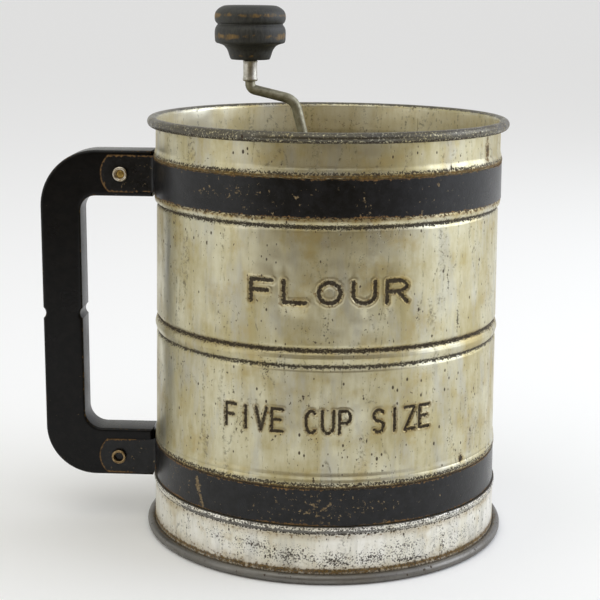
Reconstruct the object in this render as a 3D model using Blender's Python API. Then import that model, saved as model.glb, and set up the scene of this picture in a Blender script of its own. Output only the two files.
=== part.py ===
"""A hand-cranked triple flour sifter: a tin can with three screens, two black bands that clamp a
flat wooden handle, and a bent-rod crank with a turned knob.

The can stands on z = 0. The handle and the crank lie in the plane y = 0, on the -X side of the can.
"u" below is a distance from the can's axis towards the handle, so x = -u in the can's own frame.
"""

from math import atan2, ceil, cos, degrees, pi, radians, sin, sqrt, tan

import bmesh
import bpy
from mathutils import Vector

# Can: outer radii at the rim and the base, and one sheet thickness throughout.
CAN_HEIGHT = 0.1603
NECK_RADIUS = 0.0650
BASE_RADIUS = 0.0669
SHEET = 0.0006
CAN_BOTTOM = 0.0120
CLEARANCE = 0.0003

# Rolled rim and foot, each rolled over a wire.
RIM_TUBE = 0.0038
FOOT_TUBE = 0.0036
FOOT_ROLL_PARTS = 8
FOOT_BEAD_GAP = 0.0004
FOOT_BEAD_HALF = 0.0011
FOOT_BEAD_PROUD = 0.0005

# The middle of the can is drawn in a little between the two bands, and a bead runs round it.
BODY_INSET = 0.00045
BEAD_Z = 0.0819
BEAD_HALF = 0.0026
BEAD_CREASE = 0.0008
RIDGE_Z = 0.0392
RIDGE_PROUD = 0.0003
STRIP_PROUD = 0.0008

# Bands.
BAND_THICKNESS = 0.0008
UPPER_BAND_DROP = 0.0224
UPPER_BAND_WIDTH = 0.0132
UPPER_BAND_PROUD = 0.0014
LOWER_BAND_Z = 0.02795
LOWER_BAND_WIDTH = 0.0133
LOWER_BAND_PROUD = 0.0006
BAND_BEND = 0.0010
UPPER_EAR_LENGTH = 0.0212
UPPER_EAR_HEIGHT = 0.0144
LOWER_EAR_LENGTH = 0.0223
LOWER_EAR_HEIGHT = 0.0139
LOWER_EAR_DROP = 0.0023
EAR_ROUND = 0.0032
EAR_RAMP = 0.0040
RIVET_INSET = 0.0080

# Handle board.
HANDLE_THICKNESS = 0.0131
FINGER_GAP = 0.02745
GRIP_WIDTH = 0.0155
TOP_ARM_HEIGHT = 0.0175
BOTTOM_ARM_HEIGHT = 0.0189
BOTTOM_ARM_DROP = 0.0007
TOP_CORNER = 0.0220
BOTTOM_CORNER = 0.0195
TOP_INNER_CORNER = 0.0058
BOTTOM_INNER_CORNER = 0.0070
NOTCH_Z = 0.0830
NOTCH_HALF = 0.00215
NOTCH_DEPTH = 0.0010
HANDLE_EDGE = 0.0008

# Rivets, tubular.
RIVET_SHANK = 0.0019
RIVET_BORE = 0.00125
RIVET_HEAD = 0.00285
RIVET_HEAD_THICKNESS = 0.0007

# Crank: one bent rod, from below the foot bridge up to inside the knob.
ROD_RADIUS = 0.0019
ROD_BOTTOM = 0.0050
LEAN_START_DROP = 0.0449
ELBOW_U = 0.0127
ELBOW_RISE = 0.0058
KNOB_U = 0.0296
ARM_END_RISE = 0.0098
LEAN_BEND = 0.0120
ELBOW_BEND = 0.0060
RISER_BEND = 0.0024
FERRULE_RISE = 0.0126
FERRULE_LENGTH = 0.0078
FERRULE_WALL = 0.00065

# Knob, turned in wood, with a blind bore.
KNOB_RADIUS = 0.01335
KNOB_BORE_DEPTH = 0.0165

# Screens: a pressed ring, a dished screen on its lip and an eyelet for the rod.
RING_HEIGHT = 0.0060
RING_LIP = 0.0035
SCREEN_THICKNESS = 0.0005
SCREEN_DISH = 0.0020
EYELET_WALL = 0.0009
EYELET_FLANGE = 0.0016
EYELET_HEAD = 0.0005
UPPER_RING_Z = 0.0789
MIDDLE_RING_Z = 0.0365
LOWER_RING_Z = 0.0130

# Agitators: a hub on the rod and two bent wires beside it, one above the other.
HUB_WALL = 0.0020
HUB_HEIGHT = 0.0050
WIRE_RADIUS = 0.0010
WIRE_LOW = 0.0013
WIRE_END_GAP = 0.0045
WIRE_UPTURN = 0.0050
WIRE_FLAT = 0.0090
WIRE_SLOPE_END = 0.0200
WIRE_BEND = 0.0030

# Bridges: straps across the can that carry the rod in bushes.
STRAP_WIDTH = 0.0120
STRAP_THICKNESS = 0.0012
STRAP_BEND = 0.0022
TOP_BRIDGE_DROP = 0.0500
TOP_BRIDGE_TAB = 0.0100
FOOT_BRIDGE_Z = 0.0092
FOOT_BRIDGE_TAB = 0.0055
BUSH_WALL = 0.0014
BUSH_FLANGE = 0.0016
BUSH_HEAD = 0.0008
COLLAR_RADIUS = 0.0042
COLLAR_HEIGHT = 0.0016
WASHER_THICKNESS = 0.0010

# Fineness of round pieces: big ones share one count so that nested faces stay parallel.
CAN_STEPS = 40
SMALL_STEPS = 16
KNOB_STEPS = 24

# Worked out from the above.
HANDLE_OUTER = max(NECK_RADIUS, BASE_RADIUS) + FINGER_GAP + GRIP_WIDTH
UPPER_BAND_Z = CAN_HEIGHT - UPPER_BAND_DROP
FOOT_BEAD_Z = LOWER_BAND_Z - LOWER_BAND_WIDTH / 2 - FOOT_BEAD_GAP - FOOT_BEAD_HALF
SHAFT_HOLE = ROD_RADIUS + CLEARANCE
BOARD_HALF = HANDLE_THICKNESS / 2


def can_radius(z):
    """Outer radius of the plain, tapered can at height z."""
    return BASE_RADIUS + (NECK_RADIUS - BASE_RADIUS) * z / CAN_HEIGHT


def clear_scene():
    for obj in list(bpy.data.objects):
        bpy.data.objects.remove(obj)


def make_empty(name, location):
    empty = bpy.data.objects.new(name, None)
    empty.location = location
    bpy.context.scene.collection.objects.link(empty)
    return empty


def make_material(name, color, roughness, metallic):
    material = bpy.data.materials.new(name)
    material.use_nodes = True
    shader = material.node_tree.nodes["Principled BSDF"]
    shader.inputs["Base Color"].default_value = (*color, 1)
    shader.inputs["Roughness"].default_value = roughness
    shader.inputs["Metallic"].default_value = metallic
    return material


def add_object(name, data, finish, parent, location=(0, 0, 0)):
    """Links data as an object with a material of its own, made from finish."""
    obj = bpy.data.objects.new(name, data)
    data.materials.append(make_material(name, *finish))
    obj.parent = parent
    obj.location = location
    bpy.context.scene.collection.objects.link(obj)
    return obj


def mesh_from(bm, name):
    """Turns a bmesh into a mesh with merged points, outward faces and smooth round sides."""
    bmesh.ops.remove_doubles(bm, verts=bm.verts, dist=1e-6)
    bmesh.ops.recalc_face_normals(bm, faces=bm.faces)
    mesh = bpy.data.meshes.new(name)
    bm.to_mesh(mesh)
    bm.free()
    mesh.shade_smooth()
    mesh.set_sharp_from_angle(angle=radians(35))
    return mesh


def turned_mesh(name, outline, steps, closed=True):
    """Spins an outline of (radius, z) points about Z. An open outline has both ends on the axis."""
    bm = bmesh.new()
    points = [bm.verts.new((radius, 0, z)) for radius, z in outline]
    pairs = list(zip(points, points[1:])) + ([(points[-1], points[0])] if closed else [])
    edges = [bm.edges.new(pair) for pair in pairs]
    bmesh.ops.spin(
        bm, geom=points + edges, cent=(0, 0, 0), axis=(0, 0, 1), angle=2 * pi, steps=steps,
        use_merge=True,
    )
    return mesh_from(bm, name)


def arc(center, radius, start, end, count):
    """Points on an arc, in degrees from the first axis, both ends included."""
    angles = [radians(start + (end - start) * i / count) for i in range(count + 1)]
    return [(center[0] + radius * cos(a), center[1] + radius * sin(a)) for a in angles]


def sheet_outline(line, thickness):
    """Thickens a line of (radius, z) points by half the thickness to each side, with mitred bends."""
    points = [Vector(point) for point in line]
    sides = []
    for i, point in enumerate(points):
        before = (point - points[i - 1]).normalized() if i else None
        after = (points[i + 1] - point).normalized() if i + 1 < len(points) else None
        along = ((before or after) + (after or before)).normalized()
        normal = Vector((-along.y, along.x))
        widen = 1 / max(0.5, along.dot(after or before))
        sides.append((point, normal * (thickness / 2 * widen)))
    left = [tuple(point + offset) for point, offset in sides]
    right = [tuple(point - offset) for point, offset in reversed(sides)]
    return left + right


def rounded(corners, radii, count=4):
    """Replaces each inner corner of a path of 2D points by an arc of the given radius."""
    path = [tuple(corners[0])]
    for before, corner, after, radius in zip(corners, corners[1:], corners[2:], radii):
        corner = Vector(corner)
        first = (Vector(before) - corner).normalized()
        second = (Vector(after) - corner).normalized()
        half = first.angle(second) / 2
        center = corner + (first + second).normalized() * (radius / sin(half))
        start = corner + first * (radius / tan(half)) - center
        end = corner + second * (radius / tan(half)) - center
        turn = start.angle_signed(end)
        for i in range(count + 1):
            angle = -turn * i / count
            path.append((
                center.x + start.x * cos(angle) - start.y * sin(angle),
                center.y + start.x * sin(angle) + start.y * cos(angle),
            ))
    return path + [tuple(corners[-1])]


def wire_object(name, points, radius, sides, finish, parent, closed=False):
    """A round wire along points: a curve with a bevel, made a mesh so that it stays as it is."""
    curve = bpy.data.curves.new(name, "CURVE")
    curve.dimensions = "3D"
    curve.bevel_depth = radius
    curve.bevel_resolution = sides
    curve.use_fill_caps = not closed
    spline = curve.splines.new("POLY")
    spline.points.add(len(points) - 1)
    for target, point in zip(spline.points, points):
        target.co = (*point, 1)
    spline.use_cyclic_u = closed
    return add_object(name, curve, finish, parent)


def drill(obj, radius, depth, location, rotation=(0, 0, 0)):
    """A round hole through obj, centred at location, cut by a hidden object."""
    name = f"{obj.name}_drill_{len(obj.modifiers)}"
    outline = [(0, depth / 2), (radius, depth / 2), (radius, -depth / 2), (0, -depth / 2)]
    cutter = bpy.data.objects.new(name, turned_mesh(name, outline, SMALL_STEPS, closed=False))
    cutter.parent = obj.parent
    cutter.location = location
    cutter.rotation_euler = rotation
    cutter.hide_render = True
    cutter.display_type = "WIRE"
    bpy.context.scene.collection.objects.link(cutter)
    modifier = obj.modifiers.new(name, "BOOLEAN")
    modifier.operation = "DIFFERENCE"
    modifier.solver = "EXACT"
    modifier.object = cutter




# Colours are linear; each finish is (colour, roughness, metallic).
TIN = ((0.52, 0.50, 0.42), 0.38, 0.9)
DARK_TIN = ((0.20, 0.19, 0.18), 0.5, 0.8)
WIRE_STEEL = ((0.35, 0.34, 0.32), 0.4, 0.9)
BLACK_BAND = ((0.02, 0.02, 0.02), 0.4, 0.0)
BLACK_WOOD = ((0.012, 0.011, 0.010), 0.5, 0.0)
BRASS = ((0.45, 0.36, 0.18), 0.4, 0.9)


def roll_radius(tube):
    """Radius of the middle of the sheet in a roll of the given outer diameter."""
    return tube / 2 - SHEET / 2


def roll_wire(name, center, tube, parent):
    """The wire inside a rolled edge: a ring of few sides, clear of the sheet."""
    radius = tube / 2 - SHEET - CLEARANCE
    section = arc(center, radius, 0, 360, 6)[:-1]
    add_object(name, turned_mesh(name, section, CAN_STEPS), WIRE_STEEL, parent)


def make_can(parent):
    """The can and its rim wire. The tucked bottom edge stands inside the foot ring."""
    def wall(z, offset=0.0):
        return (can_radius(z) + offset - SHEET / 2, z)

    rim_center = (NECK_RADIUS - SHEET / 2 + roll_radius(RIM_TUBE), CAN_HEIGHT - RIM_TUBE / 2)
    rim = arc(rim_center, roll_radius(RIM_TUBE), -110, 180, 7)
    under_upper = UPPER_BAND_PROUD - BAND_THICKNESS - 1.5 * CLEARANCE
    under_lower = LOWER_BAND_PROUD - BAND_THICKNESS - CLEARANCE
    upper_top = UPPER_BAND_Z + UPPER_BAND_WIDTH / 2
    upper_bottom = UPPER_BAND_Z - UPPER_BAND_WIDTH / 2
    lower_top = LOWER_BAND_Z + LOWER_BAND_WIDTH / 2
    lower_bottom = LOWER_BAND_Z - LOWER_BAND_WIDTH / 2
    tuck = -SHEET - CLEARANCE
    line = rim + [
        wall(rim_center[1] - RIM_TUBE),
        wall(upper_top + 0.0038),
        wall(upper_top + 0.0010, under_upper + 0.0004),
        wall(upper_top, under_upper),
        wall(upper_bottom, under_upper),
        wall(upper_bottom - 0.0014, STRIP_PROUD - BODY_INSET),
        wall(upper_bottom - 0.0028, STRIP_PROUD - BODY_INSET),
        wall(upper_bottom - 0.0038, -BODY_INSET),
        wall(BEAD_Z + BEAD_HALF + 0.0012, -BODY_INSET),
        wall(BEAD_Z + BEAD_HALF, -BODY_INSET - BEAD_CREASE),
        wall(BEAD_Z),
        wall(BEAD_Z - BEAD_HALF, -BODY_INSET - BEAD_CREASE),
        wall(BEAD_Z - BEAD_HALF - 0.0012, -BODY_INSET),
        wall(RIDGE_Z + 0.0012, -BODY_INSET),
        wall(RIDGE_Z, RIDGE_PROUD - BODY_INSET),
        wall(lower_top + 0.0004, under_lower),
        wall(lower_bottom, under_lower),
        wall(lower_bottom - 0.0008, tuck),
        wall(CAN_BOTTOM, tuck),
    ]
    mesh = turned_mesh("can_body", sheet_outline(line, SHEET), CAN_STEPS)
    add_object("can_body", mesh, TIN, parent)
    roll_wire("rim_wire", rim_center, RIM_TUBE, parent)


def foot_line():
    """The middle of the foot ring's sheet, top to bottom and round the roll, and the roll's centre.
    One side of the roll lies flat on the floor and another stands upright outside."""
    def skirt(z, offset=0.0):
        return (can_radius(z) + offset - SHEET / 2, z)

    turn = 360 / FOOT_ROLL_PARTS
    radius = roll_radius(FOOT_TUBE) / cos(radians(turn / 2))
    center = (BASE_RADIUS - SHEET / 2 + roll_radius(FOOT_TUBE), FOOT_TUBE / 2)
    start = 180 + turn / 2
    roll = arc(center, radius, start, start + 6 * turn, 6)
    line = [
        skirt(FOOT_BEAD_Z + FOOT_BEAD_HALF, FOOT_BEAD_PROUD / 2),
        skirt(FOOT_BEAD_Z, FOOT_BEAD_PROUD),
        skirt(FOOT_BEAD_Z - FOOT_BEAD_HALF),
    ]
    return line + roll, center


def make_foot(parent):
    """The foot ring: a beaded top edge, a plain skirt and an edge rolled outwards over a wire."""
    line, center = foot_line()
    mesh = turned_mesh("foot_ring", sheet_outline(line, SHEET), CAN_STEPS)
    add_object("foot_ring", mesh, TIN, parent)
    roll_wire("foot_wire", center, FOOT_TUBE, parent)


def band_plan(radius, ear_end):
    """The inner line of a band seen from above, as (u, y, share): share is 1 along the ear and 0
    round the can, with a ramp between them. It runs from the end of one ear to that of the other."""
    face = BOARD_HALF + CLEARANCE
    bend = BAND_BEND + BAND_THICKNESS
    bend_u = sqrt((radius + bend) ** 2 - (face + bend) ** 2)
    touch = degrees(atan2(face + bend, bend_u))
    drops = [EAR_ROUND * share for share in (0.04, 0.2, 0.5, 1.0)]
    ear = [(ear_end - drop, face, 1.0) for drop in drops] + [(bend_u + EAR_RAMP, face, 1.0)]
    turn = [
        (bend_u - bend * sin(radians(a)), face + bend - bend * cos(radians(a)), 0.0)
        for a in (0, (90 - touch) / 2, 90 - touch)
    ]
    step = 360 / CAN_STEPS
    first = ceil((touch + step / 4) / step)
    ring = [
        (radius * cos(radians(step * i)), radius * sin(radians(step * i)), 0.0)
        for i in range(first, CAN_STEPS - first + 1)
    ]
    half = ear + turn
    return half + ring + [(u, -y, share) for u, y, share in reversed(half)]


def make_band(name, z, width, proud, ear_end, ear_z, ear_height, rivet_u, parent):
    """A band of sheet steel round the can, its two ends turned out as ears beside the handle."""
    round_radius = (ear_height ** 2 / 4 + EAR_ROUND ** 2) / (2 * EAR_ROUND)
    bm = bmesh.new()
    rows = []
    for sign in (-1, 1):
        inner = can_radius(z + sign * width / 2) + proud - BAND_THICKNESS
        row = []
        for u, y, share in band_plan(inner, ear_end):
            half = width / 2
            if share:
                inset = max(0.0, EAR_ROUND - (ear_end - u))
                ear_half = ear_height / 2
                if inset:
                    ear_half = sqrt(round_radius ** 2 - (round_radius - ear_end + u) ** 2)
                half += (ear_half - half) * share
            middle = z + (ear_z - z) * share
            row.append(bm.verts.new((-u, y, middle + sign * half)))
        rows.append(row)
    for i in range(len(rows[0]) - 1):
        bm.faces.new((rows[0][i], rows[0][i + 1], rows[1][i + 1], rows[1][i]))
    mesh = bpy.data.meshes.new(name)
    bm.to_mesh(mesh)
    bm.free()
    mesh.shade_smooth()
    obj = add_object(name, mesh, BLACK_BAND, parent)
    thicken = obj.modifiers.new("thickness", "SOLIDIFY")
    thicken.thickness = BAND_THICKNESS
    thicken.offset = -1
    thicken.use_even_offset = True
    hole = RIVET_SHANK + CLEARANCE
    drill(obj, hole, 4 * HANDLE_THICKNESS, (-rivet_u, 0, ear_z), (pi / 2, 0, 0))


def handle_outline():
    """The board's outline as (u, z), from the end of the top arm round the outside and back."""
    top = UPPER_BAND_Z + TOP_ARM_HEIGHT / 2
    top_low = top - TOP_ARM_HEIGHT
    bottom_high = LOWER_BAND_Z - BOTTOM_ARM_DROP + BOTTOM_ARM_HEIGHT / 2
    bottom = bottom_high - BOTTOM_ARM_HEIGHT
    flare = max(UPPER_BAND_PROUD - BAND_THICKNESS, STRIP_PROUD)
    top_end = max(can_radius(top), can_radius(top_low)) + flare + CLEARANCE
    lowest = can_radius(FOOT_BEAD_Z) + FOOT_BEAD_PROUD
    bottom_end = max(can_radius(bottom), can_radius(bottom_high), lowest) + CLEARANCE
    outer = HANDLE_OUTER
    inner = outer - GRIP_WIDTH
    notch_radius = (NOTCH_HALF ** 2 + NOTCH_DEPTH ** 2) / (2 * NOTCH_DEPTH)
    reach = degrees(atan2(NOTCH_HALF, notch_radius - NOTCH_DEPTH))
    back = notch_radius - NOTCH_DEPTH
    corner = arc((outer - TOP_CORNER, top - TOP_CORNER), TOP_CORNER, 90, 0, 6)
    outer_notch = arc((outer + back, NOTCH_Z), notch_radius, 180 - reach, 180 + reach, 4)
    low_corner = arc((outer - BOTTOM_CORNER, bottom + BOTTOM_CORNER), BOTTOM_CORNER, 0, -90, 6)
    low_inner = (inner - BOTTOM_INNER_CORNER, bottom_high + BOTTOM_INNER_CORNER)
    top_inner = (inner - TOP_INNER_CORNER, top_low - TOP_INNER_CORNER)
    return (
        [(top_end, top)] + corner + outer_notch + low_corner
        + [(bottom_end, bottom), (bottom_end, bottom_high)]
        + arc(low_inner, BOTTOM_INNER_CORNER, -90, 0, 4)
        + arc((inner - back, NOTCH_Z), notch_radius, -reach, reach, 4)
        + arc(top_inner, TOP_INNER_CORNER, 0, 90, 4)
        + [(top_end, top_low)]
    )


def make_handle(rivets, parent):
    """The flat wooden board with rounded edges, drilled for its rivets."""
    bm = bmesh.new()
    face = bm.faces.new([bm.verts.new((-u, -BOARD_HALF, z)) for u, z in handle_outline()])
    extruded = bmesh.ops.extrude_face_region(bm, geom=[face])["geom"]
    moved = [item for item in extruded if isinstance(item, bmesh.types.BMVert)]
    bmesh.ops.translate(bm, verts=moved, vec=(0, HANDLE_THICKNESS, 0))
    bmesh.ops.recalc_face_normals(bm, faces=bm.faces)
    rims = [
        edge for edge in bm.edges
        if all(abs(abs(vert.co.y) - BOARD_HALF) < 1e-6 for vert in edge.verts)
        and abs(edge.verts[0].co.y - edge.verts[1].co.y) < 1e-6
    ]
    bmesh.ops.bevel(
        bm, geom=rims, offset=HANDLE_EDGE, segments=1, profile=0.5, affect="EDGES", material=-1
    )
    obj = add_object("handle", mesh_from(bm, "handle"), BLACK_WOOD, parent)
    for u, z in rivets:
        drill(obj, RIVET_SHANK + CLEARANCE, 2 * HANDLE_THICKNESS, (-u, 0, z), (pi / 2, 0, 0))


def make_rivet(name, u, z, parent):
    """A tubular rivet through both ears and the board, flared at each end."""
    inner = BOARD_HALF + 2 * CLEARANCE + BAND_THICKNESS
    outer = inner + RIVET_HEAD_THICKNESS
    outline = [
        (RIVET_BORE, outer), (RIVET_HEAD - 0.0005, outer), (RIVET_HEAD, inner),
        (RIVET_SHANK, inner), (RIVET_SHANK, -inner), (RIVET_HEAD, -inner),
        (RIVET_HEAD - 0.0005, -outer), (RIVET_BORE, -outer),
    ]
    mesh = turned_mesh(name, outline, SMALL_STEPS)
    obj = add_object(name, mesh, BRASS, parent, (-u, 0, z))
    obj.rotation_euler = (pi / 2, 0, 0)


def inner_radius(z, height, extra=0.0):
    """The largest radius that clears the wall from z up to z + height, drawn in a further extra."""
    narrowest = min(can_radius(z), can_radius(z + height))
    return narrowest - BODY_INSET - extra - SHEET - CLEARANCE


def tube_outline(inner, outer, low, high):
    return [(inner, high), (outer, high), (outer, low), (inner, low)]


def make_screen(level, z, radius, parent):
    """A ring with an inner lip, the dished screen on it and the eyelet that the rod turns in.
    Returns the height of the eyelet's top."""
    ring = [
        (radius, z + RING_HEIGHT), (radius, z), (radius - RING_LIP, z),
        (radius - RING_LIP, z + SHEET), (radius - SHEET, z + SHEET), (radius - SHEET, z + RING_HEIGHT),
    ]
    name = f"{level}_screen_ring"
    add_object(name, turned_mesh(name, ring, CAN_STEPS), TIN, parent)

    shank = SHAFT_HOLE + EYELET_WALL
    hole = shank + CLEARANCE
    edge = radius - SHEET - CLEARANCE
    low = z + SHEET + CLEARANCE
    high = low + SCREEN_DISH
    screen = [
        (hole, high + SCREEN_THICKNESS), (edge, low + SCREEN_THICKNESS), (edge, low), (hole, high),
    ]
    name = f"{level}_screen"
    add_object(name, turned_mesh(name, screen, CAN_STEPS), WIRE_STEEL, parent)

    seat = high + SCREEN_THICKNESS + CLEARANCE
    top = seat + EYELET_HEAD
    eyelet = [
        (SHAFT_HOLE, top), (shank + EYELET_FLANGE, top), (shank + EYELET_FLANGE, seat),
        (shank, seat), (shank, high - EYELET_HEAD), (SHAFT_HOLE, high - EYELET_HEAD),
    ]
    name = f"{level}_eyelet"
    add_object(name, turned_mesh(name, eyelet, SMALL_STEPS), BRASS, parent)
    return top


def make_agitator(level, z, radius, eyelet_top, parent):
    """A hub and two wires that sweep the screen, crossing beside the rod at two heights."""
    hub_low = eyelet_top + CLEARANCE
    hub_radius = SHAFT_HOLE + HUB_WALL
    name = f"{level}_agitator_hub"
    hub = tube_outline(SHAFT_HOLE, hub_radius, hub_low, hub_low + HUB_HEIGHT)
    add_object(name, turned_mesh(name, hub, SMALL_STEPS), WIRE_STEEL, parent)

    edge = radius - SHEET - CLEARANCE
    screen_edge = z + SHEET + CLEARANCE + SCREEN_THICKNESS
    sweep_gap = WIRE_RADIUS + CLEARANCE
    beside = hub_radius + WIRE_RADIUS + CLEARANCE
    reach = sqrt((edge - RING_LIP - WIRE_END_GAP) ** 2 - beside ** 2)

    def sweep(s):
        return screen_edge + SCREEN_DISH * (1 - s / edge) + sweep_gap

    low = hub_low + WIRE_LOW
    for side, height in (("lower", low), ("upper", low + 2 * WIRE_RADIUS + CLEARANCE)):
        half = [
            (WIRE_FLAT, height), (WIRE_SLOPE_END, sweep(WIRE_SLOPE_END)), (reach, sweep(reach)),
            (reach, sweep(reach) + WIRE_UPTURN),
        ]
        corners = [(-s, h) for s, h in reversed(half)] + half
        path = rounded(corners, [WIRE_BEND] * (len(corners) - 2), 2)
        if side == "lower":
            points = [(s, beside, h) for s, h in path]
        else:
            points = [(-beside, s, h) for s, h in path]
        wire_object(f"{level}_agitator_{side}_wire", points, WIRE_RADIUS, 2, WIRE_STEEL, parent)


def make_bridge(name, z, tab, radius, parent):
    """A strap across the can along Y, its ends bent down as tabs, drilled for a bush.
    z is the strap's top, and radius is that of the wall it stands against."""
    half_width = STRAP_WIDTH / 2
    span = sqrt(radius ** 2 - half_width ** 2) * cos(pi / CAN_STEPS) - CLEARANCE
    corners = [(-span, z - tab), (-span, z), (span, z), (span, z - tab)]
    bm = bmesh.new()
    rows = [
        [bm.verts.new((x, y, h)) for y, h in rounded(corners, [STRAP_BEND] * 2, 3)]
        for x in (-half_width, half_width)
    ]
    for i in range(len(rows[0]) - 1):
        bm.faces.new((rows[0][i], rows[1][i], rows[1][i + 1], rows[0][i + 1]))
    mesh = bpy.data.meshes.new(name)
    bm.to_mesh(mesh)
    bm.free()
    obj = add_object(name, mesh, TIN, parent)
    thicken = obj.modifiers.new("thickness", "SOLIDIFY")
    thicken.thickness = STRAP_THICKNESS
    thicken.offset = -1
    thicken.use_even_offset = True
    drill(obj, SHAFT_HOLE + BUSH_WALL + CLEARANCE, 6 * STRAP_THICKNESS, (0, 0, z))

    shank = SHAFT_HOLE + BUSH_WALL
    head_low = z + CLEARANCE
    head_high = head_low + BUSH_HEAD
    bottom = z - STRAP_THICKNESS - CLEARANCE
    bush = [
        (SHAFT_HOLE, head_high), (shank + BUSH_FLANGE, head_high), (shank + BUSH_FLANGE, head_low),
        (shank, head_low), (shank, bottom), (SHAFT_HOLE, bottom),
    ]
    bush_name = name.replace("bridge", "bush")
    add_object(bush_name, turned_mesh(bush_name, bush, SMALL_STEPS), BRASS, parent)
    return bottom, head_high


def make_collar(name, low, height, parent):
    """A ring fixed on the rod."""
    outline = tube_outline(SHAFT_HOLE, COLLAR_RADIUS, low, low + height)
    add_object(name, turned_mesh(name, outline, SMALL_STEPS), WIRE_STEEL, parent)


def make_crank(parent):
    """The rod: upright on the axis, leaning out above the screens, over the rim and up."""
    base = CAN_HEIGHT + FERRULE_RISE + FERRULE_LENGTH + CLEARANCE
    corners = [
        (0, ROD_BOTTOM),
        (0, CAN_HEIGHT - LEAN_START_DROP),
        (ELBOW_U, CAN_HEIGHT + ELBOW_RISE),
        (KNOB_U, CAN_HEIGHT + ARM_END_RISE),
        (KNOB_U, base + KNOB_BORE_DEPTH - CLEARANCE),
    ]
    path = rounded(corners, [LEAN_BEND, ELBOW_BEND, RISER_BEND])
    wire_object(
        "crank_rod", [(-u, 0, z) for u, z in path], ROD_RADIUS, 2, WIRE_STEEL, parent
    )
    low = CAN_HEIGHT + FERRULE_RISE
    outline = tube_outline(SHAFT_HOLE, SHAFT_HOLE + FERRULE_WALL, low, low + FERRULE_LENGTH)
    mesh = turned_mesh("knob_ferrule", outline, SMALL_STEPS)
    add_object("knob_ferrule", mesh, TIN, parent, (-KNOB_U, 0, 0))
    return base


def make_knob(base, parent):
    """Turned: a cone over the ferrule, then two rings parted by a groove, and a flat top."""
    shape = [
        (0.0069, 0.0), (0.0077, 0.0008), (0.0091, 0.0041), (0.0096, 0.0053), (0.0118, 0.0063),
        (0.0129, 0.0072), (0.01335, 0.0088), (0.0131, 0.0105), (0.0124, 0.0118), (0.0122, 0.0126),
        (0.0125, 0.0134), (0.0131, 0.0144), (0.0133, 0.0160), (0.0128, 0.0178), (0.0116, 0.0193),
        (0.0097, 0.0201),
    ]
    grow = KNOB_RADIUS / max(radius for radius, _ in shape)
    outline = [(0, KNOB_BORE_DEPTH), (SHAFT_HOLE, KNOB_BORE_DEPTH), (SHAFT_HOLE, 0)]
    outline += [(radius * grow, z) for radius, z in shape] + [(0, shape[-1][1])]
    mesh = turned_mesh("knob", outline, KNOB_STEPS, closed=False)
    add_object("knob", mesh, BLACK_WOOD, parent, (-KNOB_U, 0, base))


def build():
    clear_scene()
    # The origin is under the middle of the whole object's box, which the can's axis is not.
    foot_outer = BASE_RADIUS + FOOT_TUBE - SHEET
    axis = make_empty("can_axis", ((HANDLE_OUTER - foot_outer) / 2, 0, 0))
    make_can(axis)
    make_foot(axis)

    ear_radius = can_radius(UPPER_BAND_Z)
    low_ear_radius = can_radius(LOWER_BAND_Z)
    upper_end = ear_radius + UPPER_EAR_LENGTH
    lower_end = low_ear_radius + LOWER_EAR_LENGTH
    lower_ear_z = LOWER_BAND_Z - LOWER_EAR_DROP
    upper_rivet = (upper_end - RIVET_INSET, UPPER_BAND_Z)
    lower_rivet = (lower_end - RIVET_INSET, lower_ear_z)
    make_band(
        "upper_band", UPPER_BAND_Z, UPPER_BAND_WIDTH, UPPER_BAND_PROUD, upper_end, UPPER_BAND_Z,
        UPPER_EAR_HEIGHT, upper_rivet[0], axis,
    )
    make_band(
        "lower_band", LOWER_BAND_Z, LOWER_BAND_WIDTH, LOWER_BAND_PROUD, lower_end, lower_ear_z,
        LOWER_EAR_HEIGHT, lower_rivet[0], axis,
    )
    make_handle([upper_rivet, lower_rivet], axis)
    make_rivet("upper_handle_rivet", *upper_rivet, axis)
    make_rivet("lower_handle_rivet", *lower_rivet, axis)

    levels = (
        ("upper", UPPER_RING_Z, inner_radius(UPPER_RING_Z, RING_HEIGHT, BEAD_CREASE)),
        ("middle", MIDDLE_RING_Z, inner_radius(MIDDLE_RING_Z, RING_HEIGHT)),
        ("lower", LOWER_RING_Z, inner_radius(LOWER_RING_Z, RING_HEIGHT, SHEET + CLEARANCE - BODY_INSET)),
    )
    for level, z, radius in levels:
        eyelet_top = make_screen(level, z, radius, axis)
        make_agitator(level, z, radius, eyelet_top, axis)

    top_bridge = CAN_HEIGHT - TOP_BRIDGE_DROP
    wall = inner_radius(top_bridge - TOP_BRIDGE_TAB, TOP_BRIDGE_TAB) + CLEARANCE
    make_bridge("top_bridge", top_bridge, TOP_BRIDGE_TAB, wall, axis)
    skirt = inner_radius(FOOT_BRIDGE_Z - FOOT_BRIDGE_TAB, FOOT_BRIDGE_TAB, -BODY_INSET) + CLEARANCE
    bush_bottom, bush_top = make_bridge(
        "foot_bridge", FOOT_BRIDGE_Z, FOOT_BRIDGE_TAB, skirt, axis
    )
    make_collar("thrust_collar", bush_top + CLEARANCE, COLLAR_HEIGHT, axis)
    make_collar(
        "retaining_washer", bush_bottom - CLEARANCE - WASHER_THICKNESS, WASHER_THICKNESS, axis
    )
    make_knob(make_crank(axis), axis)


build()
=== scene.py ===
# %% [markdown]
# # A tin flour sifter
#
# A tinplate can with a rolled rim and foot, two black steel bands, a flat wooden handle and a
# bent-rod crank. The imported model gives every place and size. This file makes the fine surface:
# smooth rolls and beads, stamped words, woven screens, and tin, paint and wood that have aged.
# The frame is loaded first, because each piece is measured from it.

# %% Load the frame
from math import acos, atan2, ceil, cos, degrees, exp, floor, hypot, pi, radians, sin, sqrt, tan

import bmesh
import bpy
from mathutils import Matrix, Vector


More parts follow.
